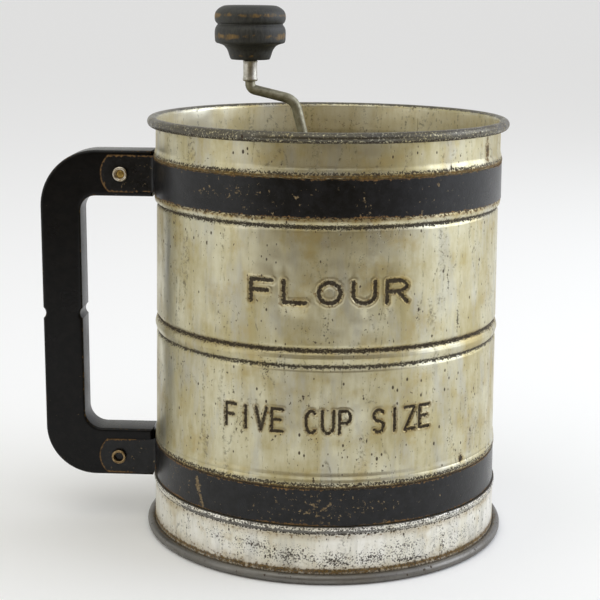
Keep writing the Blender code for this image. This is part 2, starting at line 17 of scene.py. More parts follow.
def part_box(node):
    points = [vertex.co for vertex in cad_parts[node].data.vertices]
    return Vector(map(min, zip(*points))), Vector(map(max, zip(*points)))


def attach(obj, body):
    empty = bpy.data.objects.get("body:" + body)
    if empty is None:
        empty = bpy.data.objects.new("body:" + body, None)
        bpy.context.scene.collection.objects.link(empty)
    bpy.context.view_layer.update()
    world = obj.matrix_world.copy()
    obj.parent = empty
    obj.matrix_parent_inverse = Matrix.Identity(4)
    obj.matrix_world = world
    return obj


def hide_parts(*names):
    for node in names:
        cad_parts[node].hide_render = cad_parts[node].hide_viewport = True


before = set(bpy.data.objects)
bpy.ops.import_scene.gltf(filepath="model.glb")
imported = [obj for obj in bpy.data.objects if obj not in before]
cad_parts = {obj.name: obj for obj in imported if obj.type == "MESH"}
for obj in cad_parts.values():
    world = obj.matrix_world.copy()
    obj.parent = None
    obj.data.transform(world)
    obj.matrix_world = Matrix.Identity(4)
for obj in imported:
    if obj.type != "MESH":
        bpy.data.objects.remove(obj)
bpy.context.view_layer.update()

# %% [markdown]
# ## Places read from the frame
#
# Everything round shares the can's axis, which is the middle of the can's own box. The knob has a
# second upright axis. Lengths in the script are millimetres times MM, so they read as on a bench.

# %% Axes and heights
MM = 0.001
can_low, can_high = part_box("can_body")
AXIS = Vector(((can_low.x + can_high.x) / 2, (can_low.y + can_high.y) / 2, 0))
RIM_TOP = can_high.z
SHEET = 0.6 * MM

knob_low, knob_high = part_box("knob")
KNOB_AXIS = Vector(((knob_low.x + knob_high.x) / 2, (knob_low.y + knob_high.y) / 2, 0))

heights = (AXIS.x / MM, RIM_TOP / MM, knob_high.z / MM)
print("axis x %.1f mm, rim %.1f mm, knob top %.1f mm" % heights)

# %% [markdown]
# ## Small helpers
#
# A listed colour is sRGB, and a shader works in linear light, so one function turns hex
# colours to linear. Another adds a node with its settings and links, and a third gives short forms
# for sums, ranges, mixes and noise. The last wraps a finished mesh in an object that stands at the
# origin, which keeps patterns on Object coordinates still when the piece moves.

# %% Colours, nodes and objects
def linear(hex_colour):
    """A '#rrggbb' colour as linear RGBA."""
    parts = [int(hex_colour[i:i + 2], 16) / 255 for i in (1, 3, 5)]
    return [c / 12.92 if c <= 0.04045 else ((c + 0.055) / 1.055) ** 2.4 for c in parts] + [1.0]


def add(tree, kind, inputs=(), **settings):
    """Adds one shader node, with its settings, and with values or links on its sockets."""
    made = tree.nodes.new("ShaderNode" + kind)
    for key, value in settings.items():
        setattr(made, key, value)
    for key, value in dict(inputs).items():
        if isinstance(value, bpy.types.NodeSocket):
            tree.links.new(value, made.inputs[key])
        else:
            made.inputs[key].default_value = value
    return made


def new_material(name):
    """An empty node tree that ends in a Principled shader. Returns material, tree and shader."""
    material = bpy.data.materials.new(name)
    material.use_nodes = True
    return material, material.node_tree, material.node_tree.nodes["Principled BSDF"]


def per_mm(size):
    """A texture scale that gives features of about this size in millimetres."""
    return 1 / (size * MM)


def short_forms(tree):
    """Object coordinates, and functions that add the nodes every finish here is made of."""
    def math(operation, first, second=0.0, third=0.0):
        return add(tree, "Math", {0: first, 1: second, 2: third}, operation=operation).outputs[0]

    def remap(value, low, high, to_low=0.0, to_high=1.0):
        sockets = {
            "Value": value, "From Min": low, "From Max": high, "To Min": to_low, "To Max": to_high}
        return add(tree, "MapRange", sockets).outputs[0]

    def blend(factor, first, second):
        return add(tree, "Mix", {0: factor, 6: first, 7: second}, data_type="RGBA").outputs[2]

    def field(vector, size, detail=3, roughness=0.6):
        sockets = {
            "Vector": vector, "Scale": per_mm(size), "Detail": detail, "Roughness": roughness}
        return add(tree, "TexNoise", sockets).outputs[0]

    def painted(layer):
        return add(tree, "Attribute", attribute_name=layer).outputs["Fac"]

    return add(tree, "TexCoord").outputs["Object"], math, remap, blend, field, painted


def finished(name, bm, material, body, replaces=(), sharp=40):
    """Closes a bmesh into an object at the origin that rides on a body. Edges that turn by more
    than sharp degrees stay crisp."""
    mesh = bpy.data.meshes.new(name)
    bm.to_mesh(mesh)
    bm.free()
    mesh.shade_smooth()
    mesh.set_sharp_from_angle(angle=radians(sharp))
    mesh.materials.append(material)
    obj = bpy.data.objects.new(name, mesh)
    bpy.context.scene.collection.objects.link(obj)
    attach(obj, body)
    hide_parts(*replaces)
    print(f"{name}: {len(mesh.vertices)} points")
    return obj


# %% [markdown]
# ## Turned and spun sheet
#
# A tinsmith spins or rolls most of this object round one axis, and so does the spin operator: an
# outline is drawn once beside the axis and swept round it. Sweeps of different fineness share the
# same outline, so a front sector can be dense enough for stamped words.

# %% Spin an outline
def spun(outline, centre, sectors, closed=True):
    """Spins (radius, z) points about an upright axis. sectors are (degrees, steps) pairs, and the
    first one starts at azimuth 0."""
    bm = bmesh.new()
    whole = sum(angle for angle, _ in sectors)
    turned = 0.0
    for angle, steps in sectors:
        heading = Matrix.Rotation(radians(turned), 3, "Z")
        points = [bm.verts.new(heading @ Vector((r, 0, z))) for r, z in outline]
        pairs = list(zip(points, points[1:])) + ([(points[-1], points[0])] if closed else [])
        edges = [bm.edges.new(pair) for pair in pairs]
        bmesh.ops.spin(
            bm, geom=points + edges, cent=(0, 0, 0), axis=(0, 0, 1), angle=radians(angle),
            steps=steps, use_merge=whole >= 360 and len(sectors) == 1,
        )
        turned += angle
    bmesh.ops.remove_doubles(bm, verts=bm.verts, dist=1e-6)
    bmesh.ops.recalc_face_normals(bm, faces=bm.faces)
    bmesh.ops.translate(bm, verts=bm.verts, vec=centre)
    return bm


def arc(centre, radius, start, end, count):
    """Points on an arc between two angles in degrees, both ends included."""
    turns = [radians(start + (end - start) * i / count) for i in range(count + 1)]
    return [(centre[0] + radius * cos(a), centre[1] + radius * sin(a)) for a in turns]


def placed(bm, angle, about, centre):
    """Turns a mesh about an axis through the origin, then moves it to its centre."""
    turn = Matrix.Rotation(angle, 3, about)
    bmesh.ops.rotate(bm, verts=bm.verts, cent=(0, 0, 0), matrix=turn)
    bmesh.ops.translate(bm, verts=bm.verts, vec=centre)
    return bm


def around(point):
    """A point's radius in millimetres, its azimuth from the front in degrees, and its height in
    millimetres, about the can's axis."""
    at = (point - AXIS) / MM
    return hypot(at.x, at.y), degrees(atan2(at.x, -at.y)), at.z


def push(vert, outwards):
    """Moves a point of a mesh straight away from the can's axis, by millimetres."""
    change = outwards / around(vert.co)[0]
    vert.co.x += (vert.co.x - AXIS.x) * change
    vert.co.y += (vert.co.y - AXIS.y) * change


def ease(value, low, high):
    """0 below low, 1 above high, and a smooth rise between."""
    t = min(1.0, max(0.0, (value - low) / (high - low)))
    return t * t * (3 - 2 * t)


def near(value, middle, reach):
    """1 at the middle and 0 a reach away on either side."""
    return 1 - ease(abs(value - middle), 0, reach)


def through(points, value):
    """Reads a smooth curve through (position, height) points at one position."""
    for (x0, y0), (x1, y1) in zip(points, points[1:]):
        if value <= x1:
            return y0 + (y1 - y0) * ease(value, x0, x1)
    return points[-1][1]


# %% [markdown]
# ## The can's wall
#
# The wall tapers by under two millimetres from foot to rim. Beads stiffen it: one round the middle
# with a crease above and below, a step under each band, and a small flare where the neck starts.
# They are offsets from the plain taper, given by height, so the whole wall is one smooth curve.

# %% Wall curve
BASE_RADIUS, NECK_RADIUS = 66.9 * MM, 65.0 * MM


def taper(z):
    return BASE_RADIUS + (NECK_RADIUS - BASE_RADIUS) * z / RIM_TOP


WALL_STEPS = [
    (12.0, -0.95), (20.4, -0.95), (21.6, -0.50), (34.4, -0.50), (35.5, 0.02), (37.4, 0.04),
    (38.3, -0.34), (39.2, -0.12), (40.4, -0.45), (77.4, -0.45), (79.0, -1.15), (80.3, -0.30),
    (81.9, 0.05), (83.4, -0.30), (84.6, -1.35), (86.4, -0.45), (126.2, -0.45), (128.0, -1.00),
    (128.9, 0.25), (130.3, 0.42), (131.3, 0.15), (144.4, 0.15), (145.3, 0.80), (147.0, 0.42),
    (148.6, 0.0), (156.0, 0.0),
]


def wall_radius(z):
    """Outer radius of the can's wall at height z."""
    return taper(z) + through(WALL_STEPS, z / MM) * MM


def rows(low, high, pitch):
    """Heights in millimetres from low up to just under high."""
    count = max(1, ceil((high - low) / pitch))
    return [low + (high - low) * i / count for i in range(count)]


ends = (wall_radius(20 * MM) / MM, wall_radius(150 * MM) / MM)
print("wall: %.1f mm at the foot, %.1f mm at the neck" % ends)

# %% [markdown]
# ## Stamped words
#
# Two lines are struck into the front with a round-nosed punch, so each stroke is a groove, two
# millimetres wide in the upper line and one and a half in the lower. A stroke alphabet suits that
# better than a font's outline: a letter is a few straight or curved strokes in a box one unit high,
# and the depth of a point depends only on how near it is to a stroke. The words describe the object.

# %% Stroke alphabet
def curve(cx, cy, rx, ry, start, end):
    return [
        (cx + rx * cos(radians(start + (end - start) * i / 10)),
         cy + ry * sin(radians(start + (end - start) * i / 10)))
        for i in range(11)
    ]


LETTERS = {
    "F": [[(1, 1), (0, 1), (0, 0)], [(0, 0.52), (0.8, 0.52)]],
    "L": [[(0, 1), (0, 0), (1, 0)]],
    "O": [curve(0.5, 0.5, 0.5, 0.5, 0, 360)],
    "U": [[(0, 1)] + curve(0.5, 0.42, 0.5, 0.42, 180, 360) + [(1, 1)]],
    "R": [[(0, 0), (0, 1), (0.5, 1)] + curve(0.55, 0.75, 0.42, 0.25, 90, -90) + [(0, 0.5)],
          [(0.5, 0.5), (1, 0)]],
    "I": [[(0.5, 1), (0.5, 0)]],
    "V": [[(0, 1), (0.5, 0), (1, 1)]],
    "E": [[(1, 1), (0, 1), (0, 0), (1, 0)], [(0, 0.52), (0.8, 0.52)]],
    "C": [curve(0.55, 0.5, 0.5, 0.5, 50, 310)],
    "P": [[(0, 0), (0, 1), (0.5, 1)] + curve(0.55, 0.73, 0.42, 0.27, 90, -90) + [(0, 0.46)]],
    "S": [curve(0.5, 0.75, 0.45, 0.25, 35, 270) + curve(0.5, 0.25, 0.45, 0.25, 90, -145)],
    "Z": [[(0, 1), (1, 1), (0, 0), (1, 0)]],
}


def line_of_strokes(words, left, right, low, high, share):
    """Strokes of a line of words, as segments in (azimuth in degrees, z in mm).
    share is the part of each letter's place that the letter fills."""
    place = (right - left) / (len(words) - 1 + share)
    found = []
    for i, letter in enumerate(words):
        for stroke in LETTERS.get(letter, []):
            points = [(left + place * (i + share * x), low + (high - low) * y) for x, y in stroke]
            found += list(zip(points, points[1:]))
    return found


STAMP_DEPTH, LIP_HEIGHT = 0.55, 0.20
WORD_FRONT, WORD_HEIGHTS = (-38, 44), ((50, 68), (97, 114))
FAR = 99.0
# Each line of words: the words, left and right azimuth, low and high height, share, half width.
WORD_LINES = [
    ("FLOUR", -21.6, 27.8, 101.5, 109.0, 0.64, 1.0),
    ("FIVE CUP SIZE", -30.2, 36.4, 55.2, 63.2, 0.66, 0.76),
]
STROKES = [(ends, half) for *line, half in WORD_LINES for ends in line_of_strokes(*line)]


def by_words(front, z):
    """True near the words, where it is worth working out how far the strokes are."""
    in_line = any(low < z < high for low, high in WORD_HEIGHTS)
    return in_line and WORD_FRONT[0] < front < WORD_FRONT[1]


def stroke_distance(azimuth, z):
    """How far a point of the wall is from the nearest stroke, in half widths of that stroke."""
    per_degree = 65.8 * pi / 180
    best = FAR
    for ((a0, z0), (a1, z1)), half in STROKES:
        px, py = (azimuth - a0) * per_degree, z - z0
        if abs(px) > 14 or abs(py) > 12:
            continue
        dx, dy = (a1 - a0) * per_degree, z1 - z0
        t = min(1.0, max(0.0, (px * dx + py * dy) / (dx * dx + dy * dy + 1e-9)))
        best = min(best, hypot(px - t * dx, py - t * dy) / half)
    return best


print("stamped strokes:", len(STROKES))

# %% [markdown]
# ## Where the tin is dirty
#
# Rust and grime gather where water stays: in the strokes, along creases and at a band's edges. Each
# sheet piece carries three values on its points: grime, rust and a lead-grey value. That grey is the
# dark grey of old tin on the rolled edges, and on the foot ring's bead under the lower band it is also
# painted shade. The material reads them and breaks them up with noise, so no edge looks drawn.

# %% Paint values onto points
def store(obj, name, function):
    """Stores on the mesh the function's value at each point."""
    layer = obj.data.attributes.new(name, "FLOAT", "POINT")
    for i, vertex in enumerate(obj.data.vertices):
        layer.data[i].value = function(vertex.co)


def paint(obj, **values):
    """Stores values that depend on a point's radius, azimuth from the front and height."""
    for name, function in values.items():
        store(obj, name, lambda point: function(*around(point)))


def marks(places, front, z):
    """The strongest of some smudges, each an azimuth, a height, two half sizes and a strength."""
    return max(
        strength * exp(-((front - az) / wide) ** 2 - ((z - high) / tall) ** 2)
        for az, high, wide, tall, strength in places
    )


# Each crease: its height, how far its dirt reaches, and how much there is.
CREASES = [
    (34.9, 1.0, 0.9), (36.5, 1.3, 0.72), (79.0, 1.5, 0.78), (84.7, 1.5, 0.86), (128.0, 1.6, 0.86),
    (146.3, 1.1, 0.68), (131.2, 0.7, 0.6),
]
# Each line of rust: the same three values.
RUST_LINES = [(145.3, 1.5, 0.9), (35.2, 1.5, 0.95), (84.6, 2.0, 0.45), (130.6, 1.4, 0.6)]
INNER_STEP = 0.575
ROLL_START = 156

SMEARS = [
    (48.2, 92, 0.7, 4.5, 0.62), (31.6, 97, 0.8, 3.6, 0.42), (31.0, 93.8, 1.3, 1.0, 0.62),
    (43.3, 107, 0.5, 4.5, 0.45), (45.2, 47.4, 0.9, 3.0, 0.50), (51.1, 39.6, 1.0, 1.3, 1.0),
    (-16.4, 77.0, 1.6, 1.6, 0.42), (-27.5, 68, 0.35, 6.0, 0.36), (-31.0, 60, 0.35, 7.0, 0.36),
    (2.0, 93.5, 1.8, 3.0, 0.36), (12.5, 118, 1.4, 2.5, 0.40), (-51.0, 155.6, 2.4, 0.5, 0.75),
    (6.0, 126.5, 0.5, 3.0, 0.42),
]


def is_inner(radius, z, top=ROLL_START):
    """True on the can's inner face. The words are pressed in a little less than the sheet."""
    return z < top and radius < wall_radius(z * MM) / MM - INNER_STEP


def lines_at(heights, z):
    """The strongest of some level lines at height z."""
    return max(near(z, at, reach) * amount for at, reach, amount in heights)


def can_grime(radius, front, z):
    if is_inner(radius, z):
        return 0.0
    stroke = 0.95 * (1 - ease(stroke_distance(front, z), 0.30, 1.05)) if by_words(front, z) else 0.0
    under_rim = 0.8 * near(z, 156.9, 1.0) * (radius > 64.7)
    smear = marks(SMEARS, front, z) if abs(front) < 60 else 0.0
    return max(lines_at(CREASES, z), stroke, under_rim, smear)


def can_rust(radius, front, z):
    if is_inner(radius, z):
        return 0.30 * near(abs(front), 172, 26) * near(z, 150, 14)
    spots = marks([(63.5, 151, 1.6, 4.5, 1.0), (51, 39.5, 1.1, 1.2, 1.4)], front, z)
    stroke = 0.44 * (1 - ease(stroke_distance(front, z), 0.6, 2.6)) if by_words(front, z) else 0.0
    return max(lines_at(RUST_LINES, z), spots, stroke)


def can_lead(radius, front, z):
    start = 156.6 if radius > 65.2 else 159.0
    return 0.76 * ease(z, start, start + 0.8)


def can_inside(radius, front, z):
    return float(is_inner(radius, z, 159))


# %% [markdown]
# ## The can
#
# One closed outline runs up the outside, round the hollow roll of the rim, and down the inside. The
# front 72 degrees are swept in steps of a third of a degree for the words, the next 28 in steps of
# two thirds, and the rest in steps of about two and a half. Its rows are closest at the beads and
# the words. The words are then pressed in by moving the outer points towards the axis.

# %% Build the can
RIM_TUBE, ROLL_END = 3.8 * MM, -112
FRONT_START = -90 - 33
SECTORS = [(72, 218), (28, 44), (260, 108)]
WALL_LOW = 12
# Stretches of wall from the lowest up: where each ends, and how far apart its rows are.
FINE_ROWS = [
    (20, 4), (41, 0.7), (53.4, 4.2), (65, 0.32), (77, 4), (87, 0.5), (99.6, 4.2), (111, 0.32),
    (126, 5), (132, 0.5), (144, 4), (149.5, 0.6), (ROLL_START, 2.2),
]
COARSE_ROWS = [
    (34, 4), (41, 1.2), (77, 9), (87, 1.0), (126, 9), (132, 1.2), (144, 6), (150, 1.2),
    (ROLL_START, 3),
]


def stretches(low, ends):
    """Heights of rows over several stretches."""
    found = []
    for high, pitch in ends:
        found += rows(low, high, pitch)
        low = high
    return found


def can_outline():
    radius = RIM_TUBE / 2
    middle = (NECK_RADIUS - SHEET + radius, RIM_TOP - radius)
    outside = [(wall_radius(z * MM), z * MM) for z in stretches(WALL_LOW, FINE_ROWS)]
    inside = [(wall_radius(z * MM) - SHEET, z * MM) for z in stretches(WALL_LOW, COARSE_ROWS)]
    hollow = arc(middle, radius - SHEET, 180, ROLL_END, 14)
    skin = arc(middle, radius, ROLL_END, 180, 20)
    return outside + hollow + skin + inside[::-1]


def press_words(bm):
    """Moves the wall's outer points inwards under the strokes, with a faint raised lip."""
    moved = 0
    for vert in bm.verts:
        radius, front, z = around(vert.co)
        if not by_words(front, z) or radius < (wall_radius(z * MM) - SHEET / 2) / MM:
            continue
        gap = stroke_distance(front, z)
        depth = STAMP_DEPTH * (1 - ease(gap, 0.2, 1.05))
        push(vert, LIP_HEIGHT * near(gap, 1.35, 0.55) - depth)
        moved += depth > 0
    print("points pressed in:", moved)


# %% [markdown]
# ## Aged tinplate
#
# Hot-dipped tin on thin steel. Clean tin is nearly all metallic, while dirt and rust are not. New
# tin is bright, and decades of handling leave it khaki, with streaks down the wall, fine scratches
# and dark pits where the steel shows through. Worn tin has a roughness of 0.3 to 0.5 and rust 0.75.
# Pits are about a millimetre across and the streaks a few; both are drawn at that size.

# %% Tinplate material
# Scratches: how each set is turned, how far apart its lines are, and how wide they are.
SCRATCHES = [
    ((0.3, 0.5, 0.2), 16, 0.010), ((-0.5, 0.9, 1.1), 11, 0.011), ((0.1, 0, 0.6), 21, 0.008)]


def tinplate(name, base, tint, pits, bright, lead_and_shade_colour="#474440"):
    """base and tint are the tin's two colours, pits the amount of pitting, and bright the least
    roughness."""
    material, tree, shader = new_material(name)
    place, math, remap, blend, field, painted = short_forms(tree)

    def drawn_out(along, turn=(0, 0, 0)):
        sockets = {"Vector": place, "Rotation": turn, "Scale": (1, 1, along)}
        return add(tree, "Mapping", sockets).outputs[0]

    upright = drawn_out(0.30)
    streak = field(upright, 7, 5)
    hair = field(drawn_out(0.2), 1.8)
    cloud = field(place, 22, 5, 0.6)
    grain = field(place, 1.3, 4, 0.7)
    speck = field(place, 0.65, 2, 0.6)

    # Tin colour: broad clouds, streaks down the wall, and finer hair-like lines.
    mixed = math("MULTIPLY_ADD", hair, 0.2, math("MULTIPLY_ADD", streak, 0.6, cloud))
    amount = remap(mixed, 0.74, 1.06)
    tin = blend(amount, linear(base), linear(tint))
    ochre = math("MULTIPLY", remap(field(place, 11, 5, 0.65), 0.53, 0.70), 0.40)
    tin = blend(ochre, tin, linear("#b39a5c"))
    grey = math("MULTIPLY", remap(field(upright, 9, 5, 0.65), 0.50, 0.66), 0.50)
    tin = blend(grey, tin, linear("#b4b4ae"))
    tin = blend(math("MULTIPLY", remap(hair, 0.50, 0.72), 0.12), tin, linear("#8c8670"))
    inside = painted("inside")
    tin = blend(inside, tin, blend(amount, linear("#eae6d2"), linear("#d0c49a")))

    # Scratches: thin contour lines of stretched noises, broken up by the grain.
    scratch = 0.0
    for turn, size, width in SCRATCHES:
        slanted = field(drawn_out(0.14, turn), size, 1, 0.5)
        off = math("ABSOLUTE", math("SUBTRACT", slanted, 0.5))
        scratch = math("MAXIMUM", remap(off, width, 0.0), scratch)
    scratch = math("MULTIPLY", scratch, remap(grain, 0.50, 0.60))

    # Pits: specks of random size, a little taller than wide, crowded where the cloud is high.
    tall = drawn_out(0.6)
    cells = add(tree, "TexVoronoi", {"Vector": tall, "Scale": per_mm(1.7), "Randomness": 1.0})
    size = add(tree, "SeparateColor", {0: cells.outputs["Color"]}).outputs[0]
    size = math("MULTIPLY", math("POWER", size, 4.0), 0.30)
    pit = remap(math("SUBTRACT", size, cells.outputs["Distance"]), 0.0, 0.07)
    more = 0.03 * pits
    crowd = remap(field(place, 15, 4), 0.40, 0.70, -0.035, 0.05 + more)
    fleck = remap(math("ADD", field(tall, 0.9), crowd), 0.715 - more, 0.76 - more)
    pit = math("MULTIPLY", math("MAXIMUM", pit, fleck), remap(inside, 0.0, 1.0, 1.0, 0.35))

    # Grime, rust and lead grey follow the values painted on the points, with ragged edges. On the
    # foot ring's bead the lead grey is partly painted shade.
    def ragged(layer, breaker, low, high, swing):
        value = painted(layer)
        broken = math("ADD", value, remap(breaker, 0.3, 0.7, -swing, swing))
        return math("MULTIPLY", remap(broken, low, high), remap(value, 0.0, 0.12))

    grimy = ragged("grime", speck, 0.34, 0.60, 0.45)
    rusty = ragged("rust", grain, 0.40, 0.72, 0.50)
    lead_and_shade_mask = ragged("lead", speck, 0.36, 0.62, 0.40)

    # Around the rust the tin is stained a soft golden brown.
    golden = remap(painted("rust"), 0.02, 0.85)
    stain = math("MULTIPLY", golden, remap(cloud, 0.3, 0.6, 0.45, 0.8))
    tin = blend(stain, tin, linear("#957a38"))
    rust = blend(remap(speck, 0.44, 0.64), linear("#231505"), linear("#7d5c1c"))
    colour = blend(math("MULTIPLY", scratch, 0.6), tin, linear("#4f4837"))
    # Lead grey on the rolled edges. On the foot ring's bead under the lower band this grey is also
    # painted shade.
    colour = blend(math("MULTIPLY", lead_and_shade_mask, 0.9), colour, linear(lead_and_shade_colour))
    colour = blend(math("MULTIPLY", rusty, 0.85), colour, rust)
    colour = blend(math("MULTIPLY", pit, 0.9), colour, linear("#3a2b1a"))
    colour = blend(math("MULTIPLY", grimy, 0.92), colour, linear("#2f261c"))
    tree.links.new(colour, shader.inputs["Base Color"])

    dirty = math("MAXIMUM", math("MAXIMUM", rusty, pit), grimy)
    metal = math("MULTIPLY_ADD", inside, -0.30, remap(dirty, 0, 1, 0.90, 0.12))
    tree.links.new(metal, shader.inputs["Metallic"])
    dull = remap(mixed, 0.72, 1.08, bright, bright + 0.16)
    rough = add(tree, "Mix", {0: dirty, 2: dull, 3: 0.75}, data_type="FLOAT").outputs[0]
    tree.links.new(rough, shader.inputs["Roughness"])
    shader.inputs["Specular IOR Level"].default_value = 0.35

    height = math("MULTIPLY", field(place, 17, 2), 2.4)
    height = math("MULTIPLY_ADD", dirty, -0.20, height)
    height = math("MULTIPLY_ADD", scratch, -0.08, height)
    height = math("MULTIPLY_ADD", grain, 0.08, height)
    bump = add(tree, "Bump", {"Height": height, "Distance": 0.5 * MM, "Strength": 0.5}).outputs[0]
    tree.links.new(bump, shader.inputs["Normal"])
    return material


body_tin = tinplate("khaki_tinplate", "#cdc8ac", "#b3a87e", 1.1, 0.28)
# The foot's grey colours its roll, and as painted shade also the bead under the lower band.
foot_tin = tinplate("pitted_tinplate", "#f4f2ea", "#e2decd", 1.6, 0.34, "#5f5c58")

# %% [markdown]
# The sweep starts at azimuth zero, so it is turned until its finest sector faces front. Then the
# words are pressed and the dirt is painted on.

# %% Can object
bm = placed(spun(can_outline(), (0, 0, 0), SECTORS), radians(FRONT_START), "Z", AXIS)
press_words(bm)
can = finished("can_shell", bm, body_tin, "can", ["can_body"])
paint(can, grime=can_grime, rust=can_rust, lead=can_lead, inside=can_inside)

# %% [markdown]
# ## The foot ring
#
# A second ring of tin is crimped under the lower band and rolled outwards at the floor. It is whiter
# and far more pitted than the can. Its lap seam is a small step on one side, pressed into the mesh.

# %% Build the foot ring
foot_low, foot_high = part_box("foot_ring")
FOOT_TUBE = 3.6 * MM
SEAM_FRONT, SEAM_STEP = 42.5, 0.28


def foot_outline():
    radius = FOOT_TUBE / 2
    middle = ((foot_high.x - foot_low.x) / 2 - radius, radius)
    tops = [(20.9, 0.30), (20.6, 0.45), (20.2, 0.52), (19.7, 0.55), (19.2, 0.45), (18.7, 0.15),
            (18.2, -0.12), (17.6, 0.0)]
    line = [(taper(z * MM) + out * MM, z * MM) for z, out in tops]
    line += [(taper(z * MM), z * MM) for z in (15, 12.5, 10, 8, 6.5, 5.4)]
    flare = [(4.8, 0.03), (4.3, 0.10), (3.9, 0.22)]
    line += [(taper(z * MM) + out * MM, z * MM) for z, out in flare]
    back = [(r - SHEET, z) for r, z in reversed(line)]
    skin = arc(middle, radius, 190, 360 + 118, 22)
    hollow = arc(middle, radius - SHEET, 360 + 118, 186, 16)
    return line + list(reversed(hollow)) + list(reversed(skin)) + back


def lap_seam(bm):
    """Lifts the sheet on one side of the seam and eases it back further round."""
    for vert in bm.verts:
        _, front, z = around(vert.co)
        past = front - SEAM_FRONT
        lift = ease(past, -0.5, 0.5) * (1 - ease(past, 3, 12))
        lift *= ease(z, 4.5, 6.5) * (1 - ease(z, 15.5, 17.5))
        if lift:
            push(vert, SEAM_STEP * lift)


FOOT_PITS = [
    (-8, 9.5, 9, 3.2, 0.46), (6, 8.0, 8, 3.0, 0.50), (17, 8.5, 7, 3.0, 0.52), (30, 6.6, 7, 1.4, 0.60),
    (-20, 12, 7, 3.0, 0.42), (-33, 13, 5, 2.5, 0.36), (27, 11, 9, 4.0, 0.36), (50, 10, 8, 4.0, 0.30),
]


def foot_grime(radius, front, z):
    seam = near(front, SEAM_FRONT, 0.9) * ease(z, 4, 6) * (1 - ease(z, 15, 17)) * 0.8
    bead = 0.50 * near(z, 20.2, 1.0)
    return max(near(z, 18.2, 0.6) * 0.7, seam, near(z, 20.9, 0.5), bead, marks(FOOT_PITS, front, z))


def foot_rust(radius, front, z):
    fillet = 0.9 * near(z, 4.5, 1.6) * (radius < 68.2)
    wash = 0.42 * near(z, 5.0, 4.5) * (radius < 68.2) * (1 - 0.6 * ease(front, -35, 0))
    return max(fillet, wash, near(z, 0, 0.8) * 0.5, near(z, 17.6, 1.2) * 0.4)


def foot_lead_and_shade(radius, front, z):
    """The roll is lead grey. The bead under the band gets the same grey, partly oxide and partly
    painted shade under the band, with less of it on the right, where more light falls.
    """
    # Painted shade: the bead under the lower band is darkened, partly as oxide, and less on the right,
    # where more light falls.
    bead = 1.0 * near(z, 19.0, 1.5) * ease(front, -62, -44) * (1 - 0.45 * ease(front, 0, 40))
    return max((1 - ease(z, 3.5, 4.1)) * 1.1, bead)


bm = spun(foot_outline(), AXIS, [(360, 360)])
lap_seam(bm)
foot = finished("foot_skirt", bm, foot_tin, "can", ["foot_ring"])
# The foot's grey value is lead grey on the roll and partly painted shade on the bead under the band.
paint(foot, grime=foot_grime, rust=foot_rust, lead=foot_lead_and_shade)

# %% [markdown]
# ## Bands
#
# Each band is a strap of thin steel, black japanned, that runs round the can and turns out beside
# the handle as two ears with rounded ends. Seen from above, its line is a circle, a tight bend and a
# straight ear. That line is drawn at nine heights to make a strip, and solidify gives it its gauge.

# %% Band strip
BAND_SHEET = 0.8 * MM
board_low, board_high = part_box("handle")
BOARD_HALF = (board_high.y - board_low.y) / 2
GAP = 0.3 * MM
EAR_ROUND = 3.2 * MM


def band_line(radius, ear_end):
    """(u, y, along) of the strap's inner face seen from above, from ear to ear. along is 0 on the
    ring and 1 on an ear past its first millimetres."""
    face = BOARD_HALF + GAP
    bend = 1.8 * MM
    bend_u = sqrt((radius + bend) ** 2 - (face + bend) ** 2)
    touch = degrees(atan2(face + bend, bend_u))
    drops = [EAR_ROUND * (i / 14) ** 1.7 for i in range(15)]
    drops[0] = EAR_ROUND * 0.004
    half = [(ear_end - drop, face, 1.0) for drop in drops]
    middle = ear_end - EAR_ROUND - (ear_end - EAR_ROUND - bend_u - 4 * MM) / 2
    half += [(middle, face, 1.0), (bend_u + 3 * MM, face, 1.0), (bend_u + 1.2 * MM, face, 0.96)]
    for i in range(9):
        a = radians((90 - touch) * i / 8)
        along = 0.9 * (1 - ease(i, 0, 8))
        half.append((bend_u - bend * sin(a), face + bend - bend * cos(a), along))
    count = 560
    first, last = touch + 1.5, 360 - touch - 1.5
    ring = [first + (last - first) * i / count for i in range(count + 1)]
    half_back = [(u, -y, along) for u, y, along in reversed(half)]
    circle = [(radius * cos(radians(a)), radius * sin(radians(a)), 0.0) for a in ring]
    return half + circle + half_back


def make_strap(name, node, low, high, proud, ear_low, ear_high, material):
    """A strap from its heights, how far it stands proud of the taper, and its ears' heights."""
    node_low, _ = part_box(node)
    ear_end = AXIS.x - node_low.x
    half_ear = (ear_high - ear_low) / 2
    bow = (half_ear ** 2 + EAR_ROUND ** 2) / (2 * EAR_ROUND)
    levels = [0, 0.03, 0.08, 0.25, 0.5, 0.75, 0.92, 0.97, 1]
    bm = bmesh.new()
    strips = []
    for share in levels:
        strip = []
        z_ring = low + (high - low) * share
        inner = taper(z_ring) + proud - BAND_SHEET
        for u, y, along in band_line(inner, ear_end):
            inset = max(0.0, EAR_ROUND - (ear_end - u))
            reach = sqrt(max(0.0, bow ** 2 - (bow - EAR_ROUND + inset) ** 2)) if inset else half_ear
            z_ear = (ear_low + ear_high) / 2 + (2 * share - 1) * min(reach, half_ear)
            strip.append(bm.verts.new((AXIS.x - u, y, z_ring + (z_ear - z_ring) * along)))
        strips.append(strip)
    for under, over in zip(strips, strips[1:]):
        for i in range(len(under) - 1):
            bm.faces.new((under[i], under[i + 1], over[i + 1], over[i]))
    bm.normal_update()
    bmesh.ops.solidify(bm, geom=bm.faces[:], thickness=-BAND_SHEET)
    bmesh.ops.recalc_face_normals(bm, faces=bm.faces)
    return finished(name, bm, material, "can", [node], sharp=50)


# %% [markdown]
# ## Black japan
#
# Japanning is a baked asphalt varnish: a hard black film with a semi-gloss, so it is not metallic
# and its roughness is near 0.3. An old film reflects less than a fresh one, so its specular level is
# low. It chips to tan rust, most of all at the strap's edges, which are rubbed to a golden brown.

